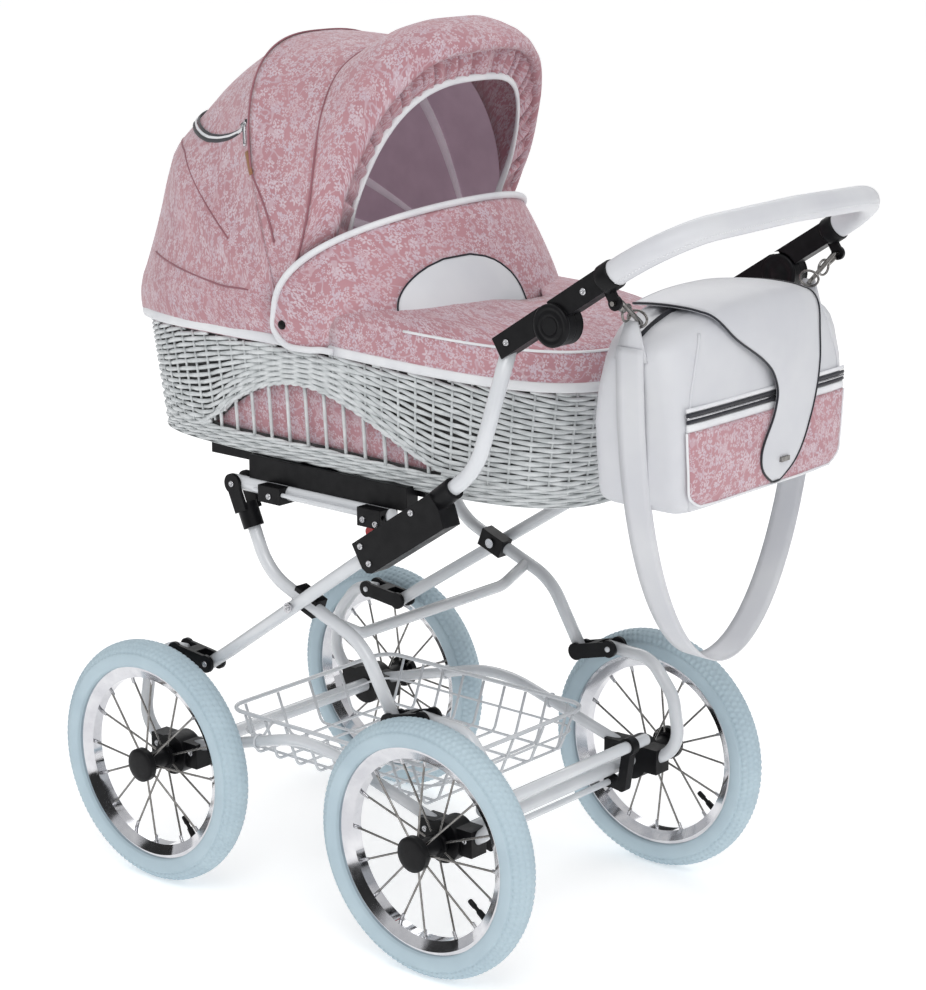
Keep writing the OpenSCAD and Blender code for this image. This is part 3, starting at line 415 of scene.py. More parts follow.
def droop(points):
    """The basket hangs a little lower at its ends than in its middle."""
    foot, head = 21, 9
    p = np.asarray(points, float).reshape(-1, 3).copy()
    down = foot * np.clip((p[:, 0] - 10) / 395, 0, 1.1) ** 1.5 + head * np.clip((-170 - p[:, 0]) / 235, 0, 1.1) ** 1.5
    p[:, 2] -= down * np.clip((RIM_Z + 190 - p[:, 2]) / 120, 0, 1)
    return p


def lengths(g):
    """Print coordinates of a grid of points: arc lengths along its rows and columns."""
    g = np.asarray(g, float)
    u = np.concatenate([np.zeros((len(g), 1)), np.linalg.norm(np.diff(g, axis=1), axis=2).cumsum(1)], 1)
    u -= u[:, u.shape[1] // 2][:, None]
    v = np.concatenate([np.zeros((1, g.shape[1])), np.linalg.norm(np.diff(g, axis=0), axis=2).cumsum(0)], 0)
    return np.stack([u, v], -1).reshape(-1, 2)


def quads(r, c, base=0, flip=False):
    f = [(base + i * c + j, base + i * c + j + 1, base + (i + 1) * c + j + 1, base + (i + 1) * c + j)
         for i in range(r - 1) for j in range(c - 1)]
    return [q[::-1] for q in f] if flip else f


def shell(outer, inner, flip=False):
    """A thick sheet between two grids, with its print coordinates."""
    outer, inner = np.asarray(outer, float), np.asarray(inner, float)
    r, c = outer.shape[:2]
    s = r * c
    faces = quads(r, c, 0, flip) + quads(r, c, s, not flip)
    ring = list(range(c)) + [i * c + c - 1 for i in range(1, r)]
    ring += [(r - 1) * c + j for j in range(c - 2, -1, -1)] + [i * c for i in range(r - 2, 0, -1)]
    for a, b in zip(ring, ring[1:] + ring[:1]):
        q = (b, a, s + a, s + b)
        faces.append(q[::-1] if flip else q)
    uv = lengths(outer)
    return (np.concatenate([outer.reshape(-1, 3), inner.reshape(-1, 3)]), faces), np.concatenate([uv, uv])


def normals(g):
    """Unit normals of a grid of points."""
    n = np.cross(np.gradient(g, axis=1), np.gradient(g, axis=0))
    size = np.linalg.norm(n, axis=2)[..., None]
    return n / np.where(size < 1e-9, 1, size)


def rumple(g, amount, scale, seed):
    """Soft, uneven swelling of a fabric grid along its normals."""
    move = np.array([[noise.noise(Vector(p / scale) + Vector((seed, 0, 0))) for p in line] for line in g])
    return g + normals(g) * (amount * move)[..., None]


def oval(a, b, z, steps):
    """Ring of a rounded oblong with the half sizes a and b."""
    c, s = cos_sin(turns(steps))
    return np.stack([a * power(c, 2 / 3), b * power(s, 2 / 3), np.full(steps, z)], 1)


def resample(path, count, closed=False, by=3):
    """The path at equal steps, measured along the first columns of its points."""
    path = np.asarray(path, float)
    if closed:
        path = np.concatenate([path, path[:1]])
    s = np.concatenate([[0], spans(path[:, :by]).cumsum()])
    at = np.linspace(0, s[-1], count, endpoint=not closed)
    return np.stack([np.interp(at, s, column) for column in path.T], 1)


def eased(path, times):
    """The path, with its inner points drawn towards their neighbours."""
    for _ in range(times):
        path[1:-1] = 0.25 * path[:-2] + 0.5 * path[1:-1] + 0.25 * path[2:]
    return path


def border(rows, count):
    """Path down one side of a grid, along its last row and up the other side."""
    return resample([r[0] for r in rows] + list(rows[-1]) + [r[-1] for r in rows[::-1]], count)


# Camera, light and floor
def stage():
    az, el = radians(40.366), radians(14.474)
    focal, photo_height, sensor = 2627.02, 990, 36
    back = Vector((sin(az) * cos(el), -cos(az) * cos(el), sin(el)))
    right = Vector((cos(az), sin(az), 0))
    place = Matrix((right, back.cross(right), back)).transposed().to_4x4()
    place.translation = Vector(row([2347.24, -2640.87, 1466.87])[0])
    cam = linked("camera", bpy.data.cameras.new("camera"))
    cam.matrix_world = place
    cam.data.lens = focal / photo_height * sensor
    cam.data.clip_end = 200
    scene = bpy.context.scene
    scene.camera = cam
    scene.view_settings.view_transform = "Standard"
    scene.world = bpy.data.worlds.new("studio")
    scene.world.use_nodes = True
    sky = scene.world.node_tree.nodes["Background"].inputs["Color"]
    height = nd(sky, "SeparateXYZ", nd(sky, "TexCoord").outputs["Generated"]).outputs[2]
    glow = mix(ramp(height, 0.0, 0.8), [0.57, 0.58, 0.60, 1], [0.74, 0.74, 0.74, 1])
    seen = nd(sky, "LightPath").outputs["Is Camera Ray"]
    put(sky, mix(seen, glow, [1.0, 1.0, 1.0, 1]))
    lamps = (("key", (2.3, -2.6, 4.3), 2.4, 60), ("fill", (3.8, -0.8, 2.6), 2.4, 14),
             ("rim", (-2.2, 3.0, 3.2), 2.5, 30))
    for name, at, size, power in lamps:
        lamp = linked(name, bpy.data.lights.new(name, "AREA"))
        lamp.data.size = size
        lamp.data.energy = power
        lamp.location = at
        lamp.rotation_euler = (Vector((0, 0, 0.6)) - Vector(at)).to_track_quat("-Z", "Y").to_euler()
    corners = [(-60, -60, 0), (60, -60, 0), (60, 60, 0), (-60, 60, 0)]
    prop("floor", corners, [(0, 1, 2, 3)], "pale_floor", 0.6, 0.90, 0.93, Emission_Color=[1, 1, 1, 1],
         Emission_Strength=0.36)
    points, faces = [], []
    for k in range(7):
        for a in (k * 51.4, k * 51.4 + 30):
            x, y = 5 * cos(radians(a)), 5 * sin(radians(a))
            points += [(x, y, 0.1), (x, y, 2.2)]
        faces.append((4 * k, 4 * k + 2, 4 * k + 3, 4 * k + 1))
    cards = prop("reflection_cards", points, faces, "dark_card", 2.0, 0.02, 0.05)
    cards.visible_camera = cards.visible_diffuse = cards.visible_shadow = cards.visible_transmission = False


def prop(name, points, faces, finish, scale, dark, light, **sockets):
    """A piece of the studio, not of the pram, in a grey between dark and light."""
    mat, bsdf = surface(finish, 0.9, Specular_IOR_Level=0.0, **sockets)
    drift = noise_tex(nd(bsdf, "TexCoord").outputs["Object"], scale)
    put(bsdf.inputs["Base Color"], mix(drift, [dark] * 3 + [1], [light] * 3 + [1]))
    mesh = bpy.data.meshes.new(name)
    mesh.from_pydata(points, [], faces)
    mesh.materials.append(mat)
    ob = linked(name, mesh)
    return ob


# Finishes of the CAD nodes that stay in view, by how their names start; the others are white
def dress_nodes():
    finishes = (
        (CHROME, "rim_"), (NICKEL, "spokes_ turn_lock bag_hooks"), (RED, "red_levers"),
        (STEEL, "stub_axles pivot_pins hood_hinges"),
        (BLACK, "hub_ axle_brackets brake_arms front_links rear_links fold_boxes handle_arms pivot_blocks leg_elbows "
                "rail_brackets handle_joints button_ base_frame"))
    for name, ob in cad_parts.items():
        mat = next((m for m, starts in finishes if name.startswith(tuple(starts.split()))), WHITE)
        ob.data.materials.clear()
        ob.data.materials.append(mat)


# Wheels: treaded tyre, domed hub cap, valve
TYRE_MID, TYRE_R = 151.5, 23.5
TREAD_BLOCKS, TREAD_PITCH = 120, 22
BLOCK_DEPTHS = (-1.4, -1.4, 0.0, 0.0)
FLANK = (70, 77, 86, 95, 104, 112, 119.3)
SPOKES = 16


def tread(x, s):
    """The tyre of one wheel: blocks in rows, each row half a block on from the next, between grooves."""
    rows = [(-a, 0.0) for a in FLANK[::-1]]
    for b in range(-66, 67, TREAD_PITCH):
        rows += [(b - 3.4, 1.0), (b - 1.7, -1.2), (b + 1.7, -1.2), (b + 3.4, 1.0), (b + 11, 1.0)]
    rows = rows[:-1] + [(a, 0.0) for a in FLANK]
    per = len(BLOCK_DEPTHS)
    n, m = TREAD_BLOCKS * per, len(rows)
    points, faces = [], []
    for k in range(n):
        a = 2 * pi * k / n
        for phi, kind in rows:
            odd = int((phi + 66) // TREAD_PITCH) % 2
            r = TYRE_R + (kind if kind < 0 else BLOCK_DEPTHS[(k + 2 * odd) % per] * kind)
            rad = TYRE_MID + r * cos(radians(phi))
            y = s * (WHEEL_Y + r * sin(radians(phi)))
            points.append((x + rad * cos(a), y, AXLE_Z + rad * sin(a)))
        a, b = k * m, (k + 1) % n * m
        faces += [(a + j, b + j, b + (j + 1) % m, a + (j + 1) % m) for j in range(m)]
    return points, [f[::-1] for f in faces] if s > 0 else faces


def wheels():
    cap = [(0.1, 2.4), (9, 2.3), (17, 1.9), (20, 1.5), (22.4, 0.7), (23.6, -0.6), (23.6, -2)]
    stem = [(0.1, 34), (3.0, 33.5), (3.6, 31), (3.6, 22), (2.6, 21), (2.6, 16), (4.0, 14), (4.4, 3), (6.2, 1),
            (6.4, -2)]
    nipple = [(1.9, 9), (2.4, 8), (2.6, 0), (3.2, -1.5)]
    for end, x, valve_a in (("front", FRONT_X, -52), ("rear", REAR_X, -35)):
        for side, s in (("left", -1), ("right", 1)):
            name = f"{end}_{side}"
            body = "wheel_" + name
            add("tyre_tread_" + name, tread(x, s), TYRE, body, ["tyre_" + name])
            add("hub_cap_" + name, lathe(cap, (x, s * (WHEEL_Y + 30), AXLE_Z), (0, s, 0), 48), BLACK, body)
            out = at_y(pol(1, valve_a), 0)
            foot = vec(x, s * (WHEEL_Y + 1), AXLE_Z) + out * 123
            add("valve_" + name, lathe(stem, foot, -out, 20), BLACK, body)
            ends = []
            for k in range(SPOKES):
                t = 2 * pi * k / SPOKES
                o = vec(cos(t), 0, sin(t))
                y = s * (WHEEL_Y + (3 if k % 2 == 0 else -3))
                ends.append(lathe(nipple, vec(x, y, AXLE_Z) + o * 121.5, -o, 12))
            add("nipples_" + name, join(ends), STEEL, body)


# Smooth painted tubes in place of the CAD's many-sided ones
def tubes():
    def side(points, y, r, d):
        return sweep(rounded([at_y(p, y) for p in points], r), d, 24, ref=ACROSS)

    def pair(name, shapes, body, node):
        add(name, join(both(shapes)), WHITE, body, [node])

    arched = [(-240.5, 185), (0, 253), (240.5, 185)]
    pair("side_tube_pair", [side(arched, FRAME_Y, 220, 16)], "undercarriage", "side_tubes")
    springs = []
    for x, out, pin in ((FRONT_X, -1, FRONT_PIN_OUT), (REAR_X, 1, REAR_PIN_OUT)):
        corners = [(24, 151), (63, 103), (76, 30), (22, -3)]
        path = [pin - vec(out * 9, 0)] + [(x + out * a, AXLE_Z + b) for a, b in corners]
        springs.append(side(path, FRAME_Y, 46, 18))
        springs.append(lathe([(4, 32), (4, 0)], at_y(pin, FRAME_Y - 16), ACROSS, 20))
    pair("spring_tube_set", springs, "undercarriage", "spring_tubes")
    fold = rounded([at_y(FRONT_PIN_IN - pol(9, FOLD_A), FRAME_Y), at_y(FRONT_PIN_IN + pol(42, FOLD_A), FRAME_Y),
                    at_y(BOX_O - pol(25, FOLD_A), PUSH_Y), at_y(BOX_O + pol(60, FOLD_A), PUSH_Y)], 80)
    pair("fold_tube_pair", [sweep(fold, 18, 24, ref=ACROSS)], "push_frame", "fold_tubes")
    pair("push_tube_pair", [side([PUSH_START, PUSH_CORNER, PUSH_TOP], PUSH_Y, 110, 20)], "push_frame", "push_tubes")
    pair("leg_pair", [side([LEG_TOP, KNEE, HIP, LEG_FOOT], FRAME_Y, 90, 18)], "leg_frame", "legs")
    brace = CROSS + pol(62, LEG_SLOPE)
    low = brace - vec(6, 24)
    bow = rounded([at_y(brace, 196), at_y(low, 150), at_y(low, -150), at_y(brace, -196)], 40)
    add("leg_brace_bar", sweep(bow, 16, 24, ref=ALONG), WHITE, "leg_frame", ["leg_brace"])
    tray()


def tray():
    l, w, top_z, floor, corner, slope = 193.0, 168.0, 245.0, 179.0, 30, 24
    edge = []
    for q in range(4):
        for a in range(0, 91, 10):
            x, y = pol(corner, 90 * q + a)
            edge.append(((l - corner) * (1 if q in (0, 3) else -1) + x, (w - corner) * (1 if q < 2 else -1) + y, top_z))
    wires = [sweep(edge, 6, 14, closed=True, ref=UP)]
    top = top_z - 3.9
    for i in range(9):
        x = (l - 36) * (2 * i / 8 - 1)
        path = [(x, -w, top), (x, slope - w, floor), (x, w - slope, floor), (x, w, top)]
        wires.append(sweep(rounded(path, 12), 4, 12, ref=ALONG))
    for j in range(5):
        y, low = (w - 36) * (2 * j / 4 - 1), floor + 4.1
        path = [(-l, y, top), (slope - l, y, low), (l - slope, y, low), (l, y, top)]
        wires.append(sweep(rounded(path, 12), 4, 12, ref=ACROSS))
    ring = [(p[0] - 10 * np.sign(p[0]), p[1] - 10 * np.sign(p[1]), 0.5 * (top_z + floor)) for p in edge]
    wires.append(sweep(ring, 3.4, 12, closed=True, ref=UP))
    for x in (-100, 100):
        for s in (-1, 1):
            reach = 253 - 68 * abs(x) / 240.5
            wires.append(sweep([(x, s * (w + 4.6), top_z), (x, s * 196, reach)], 4, 12, ref=ALONG))
            loop = [(x, s * (FRAME_Y + 9.6 * cos(t)), reach + 9.6 * sin(t)) for t in turns(24)]
            wires.append(sweep(loop, 3.4, 10, closed=True, ref=ALONG))
    add("tray_wires", join(wires), WHITE, "undercarriage", ["shopping_tray"])


# Wicker: cane strands woven in front of and behind upright stakes
STAKES, STAKE_STEPS = 76, 8
WINDOW = (-203.0, 235.0)
SILL = BASKET_Z + 28.5
WINDOW_STAKES = 12
BASE_OVAL = resample(oval(BASKET_A, BASKET_B, 0, 4000), 8000, closed=True) / vec(BASKET_A, BASKET_B, 1)


def arch_z(x):
    """Top of the window in a long side at x, or its sill's height outside it."""
    u = (x - WINDOW[0]) / (WINDOW[1] - WINDOW[0])
    if not 0 < u < 1:
        return SILL
    return SILL + 79 * max(0.0, sin(pi * u ** 0.85)) ** 1.3


def basket_half(z, margin):
    """Half length and half width of the basket at height z and margin inwards."""
    lean = BASKET_LEAN * (RIM_Z - z) / BASKET_H
    return BASKET_A - 2 * lean - margin, BASKET_B - lean - margin


def wall_y(x, z, margin):
    """Half width of the basket at x and z, in a long side."""
    a, b = basket_half(z, margin)
    return b * (1 - min(1.0, abs(x) / a) ** 3) ** (1 / 3)


def basket_at(f, z, margin):
    """Points of the basket wall at shares f of its length round, height z and margin inwards."""
    a, b = basket_half(z, margin)
    at = BASE_OVAL[(np.asarray(f) * len(BASE_OVAL)).astype(int) % len(BASE_OVAL)]
    return np.stack([at[:, 0] * a, at[:, 1] * b, np.broadcast_to(z, at[:, 0].shape)], 1)


def wicker():
    count = STAKES * STAKE_STEPS
    f = np.arange(count) / count
    phase = pi * np.arange(count) / STAKE_STEPS
    plan = basket_at(f, RIM_Z, 0)
    side = np.clip((np.abs(plan[:, 1]) - 120) / 70, 0, 1)
    top = np.array([SILL + (arch_z(p[0]) - SILL) * (w > 0.99) for p, w in zip(plan, side)])
    swell = np.exp(-((plan[:, 0] - 5) / 190) ** 2) * side
    rise = top - SILL
    for _ in range(40):
        rise = 0.25 * np.roll(rise, 1) + 0.5 * rise + 0.25 * np.roll(rise, -1)
    strands = []
    for i in range(-4, 24):
        share = min(1.0, max(0, i) / 9)
        lift = (1 - share) * rise + share * 66 * np.exp(-((plan[:, 0] - 2) / (150 + 9 * i)) ** 2) * side
        z = SILL + 5.6 + i * 6.3 * (1 - 0.24 * swell) + lift
        wob = np.array([noise.noise(Vector((p[0] / 60, p[1] / 60, i * 3.7))) for p in plan])
        weave = 2.3 * np.cos(phase + pi * i)
        keep = (z < RIM_Z - 1.5) & (z > np.where(top > SILL + 0.5, top + 4, SILL - 2.5))
        size = 5.9 + 0.5 * noise.noise(Vector((i * 1.3, 0, 0)))
        strands += runs(basket_at(f, np.minimum(z, RIM_Z) + 0.7 * wob, 5.0 - weave), keep, size)
    for k in range(4):
        for half in (0, 1):
            turn = 0.55 * phase + pi * (half + 0.5 * k)
            z = BASKET_Z + 4.4 + k * 6.4 + 1.7 * np.sin(turn)
            strands.append(sweep(basket_at(f, z, 5.0 - 2.4 * np.cos(turn)), 4.4, 7, closed=True, ref=UP))
    for s in (-1, 1):
        xs = np.linspace(WINDOW[0] - 6, WINDOW[1] + 6, 110)
        for half in (0, 1):
            turn = np.arange(110) * 0.85 + pi * half
            z = np.array([arch_z(x) for x in xs]) + 2.0 + 1.4 * np.sin(turn)
            y = np.array([wall_y(x, h, 4.5) for x, h in zip(xs, z)]) + 2.0 * np.cos(turn)
            strands.append(sweep(np.stack([xs, s * y, z], 1), 4.8, 7, ref=UP))
        for k in range(1, WINDOW_STAKES + 1):
            x = WINDOW[0] + (WINDOW[1] - WINDOW[0]) * k / (WINDOW_STAKES + 1)
            strands.append(sweep([(x, s * wall_y(x, z, 6.0), z) for z in (SILL - 8, arch_z(x) + 6)], 5.0, 8))
    for k, low in enumerate(top[::STAKE_STEPS]):
        low = low if low > SILL + 1 else BASKET_Z + 2
        strands.append(sweep([basket_at([k / STAKES], z, 5.0)[0] for z in (low, RIM_Z - 2)], 3.6, 6))
    add("basket_weave", join(strands), CANE, "bassinet", ["wicker_basket"])
    # Dark sheets just behind the strands, above the window and below its sill: painted shade for the gaps of the weave.
    shade_sheets = []
    for lows, highs in ((top + 1, RIM_Z - 1), (np.full(count, BASKET_Z + 1), SILL + 1)):
        grid = np.array([basket_at(f, lows + (highs - lows) * k / 10, 10.2) for k in range(11)])
        faces = [q for i in range(10) for q in band(i * count, (i + 1) * count, count)]
        shade_sheets.append((grid.reshape(-1, 3), faces))
    add("painted_shade_backing", join(shade_sheets), SHADE, "bassinet")
    floor = [oval(*basket_half(BASKET_Z, m), BASKET_Z + h, 120) for m, h in ((1, 2.2), (4, 0.3), (60, 0.1), (150, 0.1))]
    add("basket_floor", loft(floor, flip=True), CANE, "bassinet")


def runs(points, keep, d):
    """Flattened tubes along the kept stretches of a closed path."""
    def strand(path, closed):
        return sweep(path, d * 0.78, 8, closed, UP, 1.32)

    if keep.all():
        return [strand(points, True)]
    start = int(np.argmin(keep))
    out, run = [], []
    for i in [*range(start, len(points)), *range(start + 1)]:
        if keep[i]:
            run.append(points[i])
        elif run:
            if len(run) > 3:
                out.append(strand(run, False))
            run = []
    return out


# Lining and mattress
def bedding():
    count = 240
    f = np.append(np.arange(count), 0) / count
    zs = np.linspace(BASKET_Z + 9.2, RIM_Z - 0.5, 14)
    outer, inner = ([basket_at(f, z, margin) for z in zs] for margin in (14.6, 18.2))
    shape, uv = shell(outer, inner)
    cloth = add("lining_cloth", shape, ROSE, "bassinet", ["lining"], uv)
    rings = []
    for share, inset in ((0, 16), (0.06, 9), (0.16, 4), (0.34, 0.6), (0.5, 0), (0.66, 0.8), (0.84, 6), (0.94, 14),
                         (1.0, 26), (1.08, 62), (1.13, 105), (1.15, 150), (1.155, 178)):
        z = BASKET_Z + 12.7 + 48 * share / 1.16
        a, b = basket_half(z, 22 + inset)
        rings.append(oval(a, max(4, b), z, 120))
    add("mattress_pad", loft(rings), COTTON, "bassinet", ["mattress"])
    ovals = [oval(BASKET_A - 40, BASKET_B - 32, BASKET_Z + h, 160) for h in (21.7, 46.7)]
    add("mattress_piping", join([sweep(ring, 4, 8, closed=True, ref=UP) for ring in ovals]), TRIM, "bassinet")


# Hood: a sheet stretched over arches that fan about the pivots
HOOD_R, HOOD_B, HOOD_FOOT, HOOD_N = 379, 207.0, 14.0, 2.8
BOW_A, VISOR_BACK, REAR_BOW = 108.0, 84.0, 150.0
DIPS = ((VISOR_BACK, BOW_A, 6), (BOW_A, REAR_BOW, 11), (REAR_BOW, 180.0, 6))
T_HOOD = np.linspace(-90, 90, 73)
CLOTH_IN, LINING_IN = 6, 8.5
SKIRT_STEPS, SKIRT_H = 6, 56.5


def arch(a, r, b, t, dip=0.0):
    """Points of an arch of the hood: at angle a, with ridge radius r, half width b and sides drawn in by dip."""
    a, t = np.asarray(a, float), np.asarray(t, float)
    sag = 28 * np.clip((BOW_A - a) / (BOW_A - VISOR_BACK), 0, 1) * (np.abs(t) / 90) ** 3
    c, s = cos_sin(np.radians(t))
    q = HOOD_FOOT + (r - HOOD_FOOT) * np.clip(c, 0, 1) ** (2 / HOOD_N)
    y = (b - dip * (1 - (np.abs(t) / 90) ** 4)) * power(s, 2 / HOOD_N)
    ahead, above = cos_sin(np.radians(a - sag))
    return np.stack([HOOD_PIVOT[0] + q * ahead, y, HOOD_PIVOT[1] + q * above], 1)


def pinch(a):
    """How far the cloth is drawn in between the bows at the angle a."""
    d = 15 * sin(pi * min(1, max(0, (a - BOW_A) / (180 - BOW_A)))) ** 0.8
    return d + sum(dip * sin(pi * (a - lo) / (hi - lo)) ** 0.8 for lo, hi, dip in DIPS if lo <= a <= hi)


def ridge(a):
    """Radius of the stretched cloth: full at the bows, drawn in between them."""
    return HOOD_R - 50 * (1 - sin(radians(min(90, max(0, 1.2 * (a - VISOR_BACK)))))) - pinch(a)


def hood_rows(angles, inset):
    return [arch(a, ridge(a) - inset, HOOD_B - inset, T_HOOD, pinch(a)) for a in angles]


def skirt_rows(inset):
    """Rows of the rear cloth below the pivots, down to the basket's rim."""
    foot = arch(180, ridge(180) - inset, HOOD_B - inset, T_HOOD)
    c, s = cos_sin(np.radians(T_HOOD))
    far = np.abs(T_HOOD / 90)
    out = []
    for k in range(1, SKIRT_STEPS + 1):
        h = k / SKIRT_STEPS
        drop = foot.copy()
        swell = 5 * sin(pi * h) * (1 - far ** 6)
        drop += np.stack([h * 45 * far ** 8 - swell * c, 0.4 * swell * s, np.full(len(far), -h * SKIRT_H)], 1)
        out.append(drop)
    return out


def blended(piece, a0, a1):
    """Bakes the piece's placement into its mesh; the ends at the arch angles a0 and a1 are worked out but not used."""
    ends = [row(at_y(HOOD_PIVOT + pol(250, a), 0))[0] for a in (a0, a1)]
    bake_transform(piece)


def rear_blend(piece):
    blended(piece, 176, 112)


def front_blend(piece):
    blended(piece, 106, 86)


def on_hood(a, t, lift=0.0):
    return arch(a, ridge(a) + lift, HOOD_B + lift * 0.6, [t], pinch(a))[0]


def tape(a, high, low):
    """A sewn tape on the lining, along one arch."""
    rows = [[arch(a + d, ridge(a) - h, HOOD_B - h, T_HOOD, pinch(a)) for d in (-1.6, 1.6)] for h in (high, low)]
    return shell(*rows)[0]


def hood_panel(part, rows, swell, seed, bend):
    """One stretched panel of the hood and its lining; rows gives its grid at an inset."""
    outer = rumple(np.array(rows(0)), swell, 75, seed)
    shape, uv = shell(outer, rows(CLOTH_IN))
    cloth = add(f"hood_{part}_cloth", shape, ROSE, None, [f"hood_{part}_panel"], uv)
    bend(cloth)
    lining = np.array(rows(LINING_IN))
    bend(add(f"hood_{part}_lining", (lining.reshape(-1, 3), quads(*lining.shape[:2], flip=True)), LILAC))


def hood():
    rear = [BOW_A + (180 - BOW_A) * k / 30 for k in range(31)]
    hood_panel("rear", lambda inset: hood_rows(rear, inset) + skirt_rows(inset), 2.4, 3.0, rear_blend)
    front = [VISOR_BACK + (BOW_A - VISOR_BACK) * k / 14 for k in range(15)]
    hood_panel("front", lambda inset: hood_rows(front, inset), 1.8, 5.0, front_blend)
    strips = [tape(BOW_A, 10, 13)]
    for s in (-1, 1):
        y = s * (HOOD_B - 11.2)
        ends = [at_y(HOOD_PIVOT, y), at_y(HOOD_PIVOT + pol(60, BOW_A), y)]
        strips.append(sweep(ends, 4, 10, ref=ACROSS, tall=0.7))
    add("hood_bow_tape", join(strips), TAPE, "hood_bow", ["hood_bow"])
    for name, a in (("hood_tape_middle", REAR_BOW), ("hood_tape_low", 168)):
        rear_blend(add(name, tape(a, 9.5, 11.5), TAPE))
    hood_trim()
    visor()


def hood_trim():
    # Thin raised lines along the hood's seams, coloured as painted shade of the seam valleys.
    seams = [[on_hood(REAR_BOW - 5.5 * min(1, (abs(t) / 40) ** 1.5), t, 0.5) for t in np.linspace(-78, 78, 90)]]
    for s in (-1, 1):
        seams.append([on_hood(172 + 2.6 * (t / 80) ** 2 - 6 * max(0, (t - 80) / 7) ** 2, s * t, 0.5)
                      for t in np.linspace(46, 87, 50)])
    rear_blend(add("hood_seam_shades", join([sweep(line, 2.6, 7) for line in seams]), ROSE_SEAM_SHADE))
    # A thin line along the bow's seam, in painted shade of its valley.
    bow_line = [on_hood(BOW_A - 6 * max(0, (abs(t) - 70) / 13), t, 0.7) for t in np.linspace(-84, 84, 80)]
    add("hood_bow_seam_shade", sweep(bow_line, 2.8, 7), ROSE_SEAM_SHADE, "hood_bow")
    rim = skirt_rows(0)[-1] + vec(0, 0, 7)
    add("hood_rim_binding", sweep(rim, 6, 12, ref=UP, tall=2.3), TRIM, "bassinet")
    half = [(110.5, -54), (110.2, -55.3), (114.2, -56.1), (121.6, -54.5), (127.9, -51.5), (132.8, -47.2),
            (135.9, -41.9), (138.4, -34.8), (141.5, -22), (143, 0)]
    spots = half + [(a, -t) for a, t in half[-2::-1]]
    line = eased(resample([(a, t, 0) for a, t in spots], 120), 3)
    tapes = [sweep([on_hood(a + d, t, 1.2) for a, t, _ in line], 3.0, 8, ref=UP, tall=2.0) for d in (-1.15, 1.15)]
    rear_blend(add("hood_zip_tape", join(tapes), NAVY))
    teeth = sweep([on_hood(a, t, 1.6) for a, t, _ in line], 3.2, 8, ref=UP, tall=1.7)
    rear_blend(add("hood_zip_teeth", teeth, TRIM))
    at = on_hood(110.9, -55.2, 3.0)
    pull = resample([on_hood(110.6, -55.6, 4.4), on_hood(110.8, -58, 4.6), on_hood(111, -62, 4.2)], 8)
    slider = [sweep([at + vec(-5, 0, -3), at + vec(4, 0, 2)], 7, 14, ref=ACROSS, tall=0.6),
              sweep(pull, 2.4, 10, ref=ALONG, tall=2.0)]
    add("hood_zip_slider", join(slider), STEEL, "hood_bow")
    tab = [on_hood(110.4 - 0.42 * k, -63.6 - 1.1 * k, 2.8) for k in range(7)]
    add("hood_tab", sweep(tab, 2.0, 10, ref=(1, 0, 0.3), tall=3.4), TAN, "hood_bow")


# Visor: a padded roll with a gathered frill inside its mouth
def visor():
    profile = [(84.4, 327, 0), (82, 338, 0), (79, 352, 0), (76, 367, 0), (73, 380, 0), (70, 389, 0), (67, 394, 0),
               (64, 396, 0), (61.5, 394, 0.02), (59.8, 389, 0.1), (59.2, 383, 0.3), (59.8, 377, 0.55), (61.2, 374, 0.8),
               (63, 372, 1), (66, 368, 1), (72, 356, 1), (78, 338, 1), (83.6, 316, 1)]
    rows = np.array([visor_arch(a, r, 12.7 * k, T_HOOD) for a, r, k in profile])
    rows[1:-1] = rumple(rows, 2.0, 55, 9.0)[1:-1]
    r, c = rows.shape[:2]
    faces = quads(r, c, flip=True)
    faces += [((r - 1) * c + j, (r - 1) * c + j + 1, j + 1, j)[::-1] for j in range(c - 1)]
    faces += [tuple(i * c for i in range(r)), tuple(i * c + c - 1 for i in range(r))[::-1]]
    roll = (rows.reshape(-1, 3), faces)
    add("visor_roll", roll, ROSE, "hood_visor", ["hood_visor"], lengths(rows))
    # A thin line where the roll meets the hood, in painted shade of the seam valley.
    seam = arch(83.8, 329.5, HOOD_B + 0.5, np.linspace(-86, 86, 80))
    add("visor_seam_shade", sweep(seam, 3.0, 7), ROSE_SEAM_SHADE, "hood_visor")
    ts = np.linspace(-84, 84, 500)
    fold = np.sin(np.radians(ts) * 62) + 0.5 * np.sin(np.radians(ts) * 103 + 1.0)
    steps = []
    for s in np.arange(8) / 7:
        base = visor_arch(61.8 - 2 * s, 377 - 43 * s, 8 + 28 * s, ts)
        base[:, 0] += (1.0 + 4.0 * max(0.0, sin(pi * s)) ** 0.7) * fold
        base[:, 2] += 1.2 * s * fold
        steps.append(base)
    shape, uv = shell(steps, np.array(steps) + vec(-1.4, 0, 0.2))
    frill = add("visor_frill", shape, ROSE, "hood_visor", uv=uv)
    edge = visor_arch(59.8, 335, 35, np.linspace(-84, 84, 160))
    add("frill_elastic", sweep(edge, 5.6, 10, ref=UP, tall=1.7), TRIM, "hood_visor")


def visor_arch(a, r, inset, t):
    """An arch of the visor, which gets narrower towards its feet and is drawn in towards its mouth."""
    share = (84.4 - a) / 26.4
    back = 12 * share * np.minimum(1, np.abs(t) / 72) ** 2
    half = HOOD_B - 6 * max(0.0, (VISOR_BACK - a) / 26) ** 1.3
    return arch(a + back, r, half - inset - 24 * share * (np.abs(t) / 80) ** 6, t)


# Apron and wind flap
LID_X, LID_B = 36, 208
T_LID = np.linspace(-89.5, 89.5, 97)
T_FLAP = np.linspace(-90, 90, 121)


def lid(m, z, t):
    """Outline of the apron at height z and m inwards."""
    c, s = cos_sin(np.radians(t))
    x = LID_X + m + (BASKET_A - LID_X - 2 * m) * np.clip(c, 0, 1) ** (2 / 3)
    y = (LID_B - m - 6 * np.exp((LID_X - x) / 22)) * power(s, 2 / 3)
    return np.stack([x, y, np.full(len(t), z)], 1)


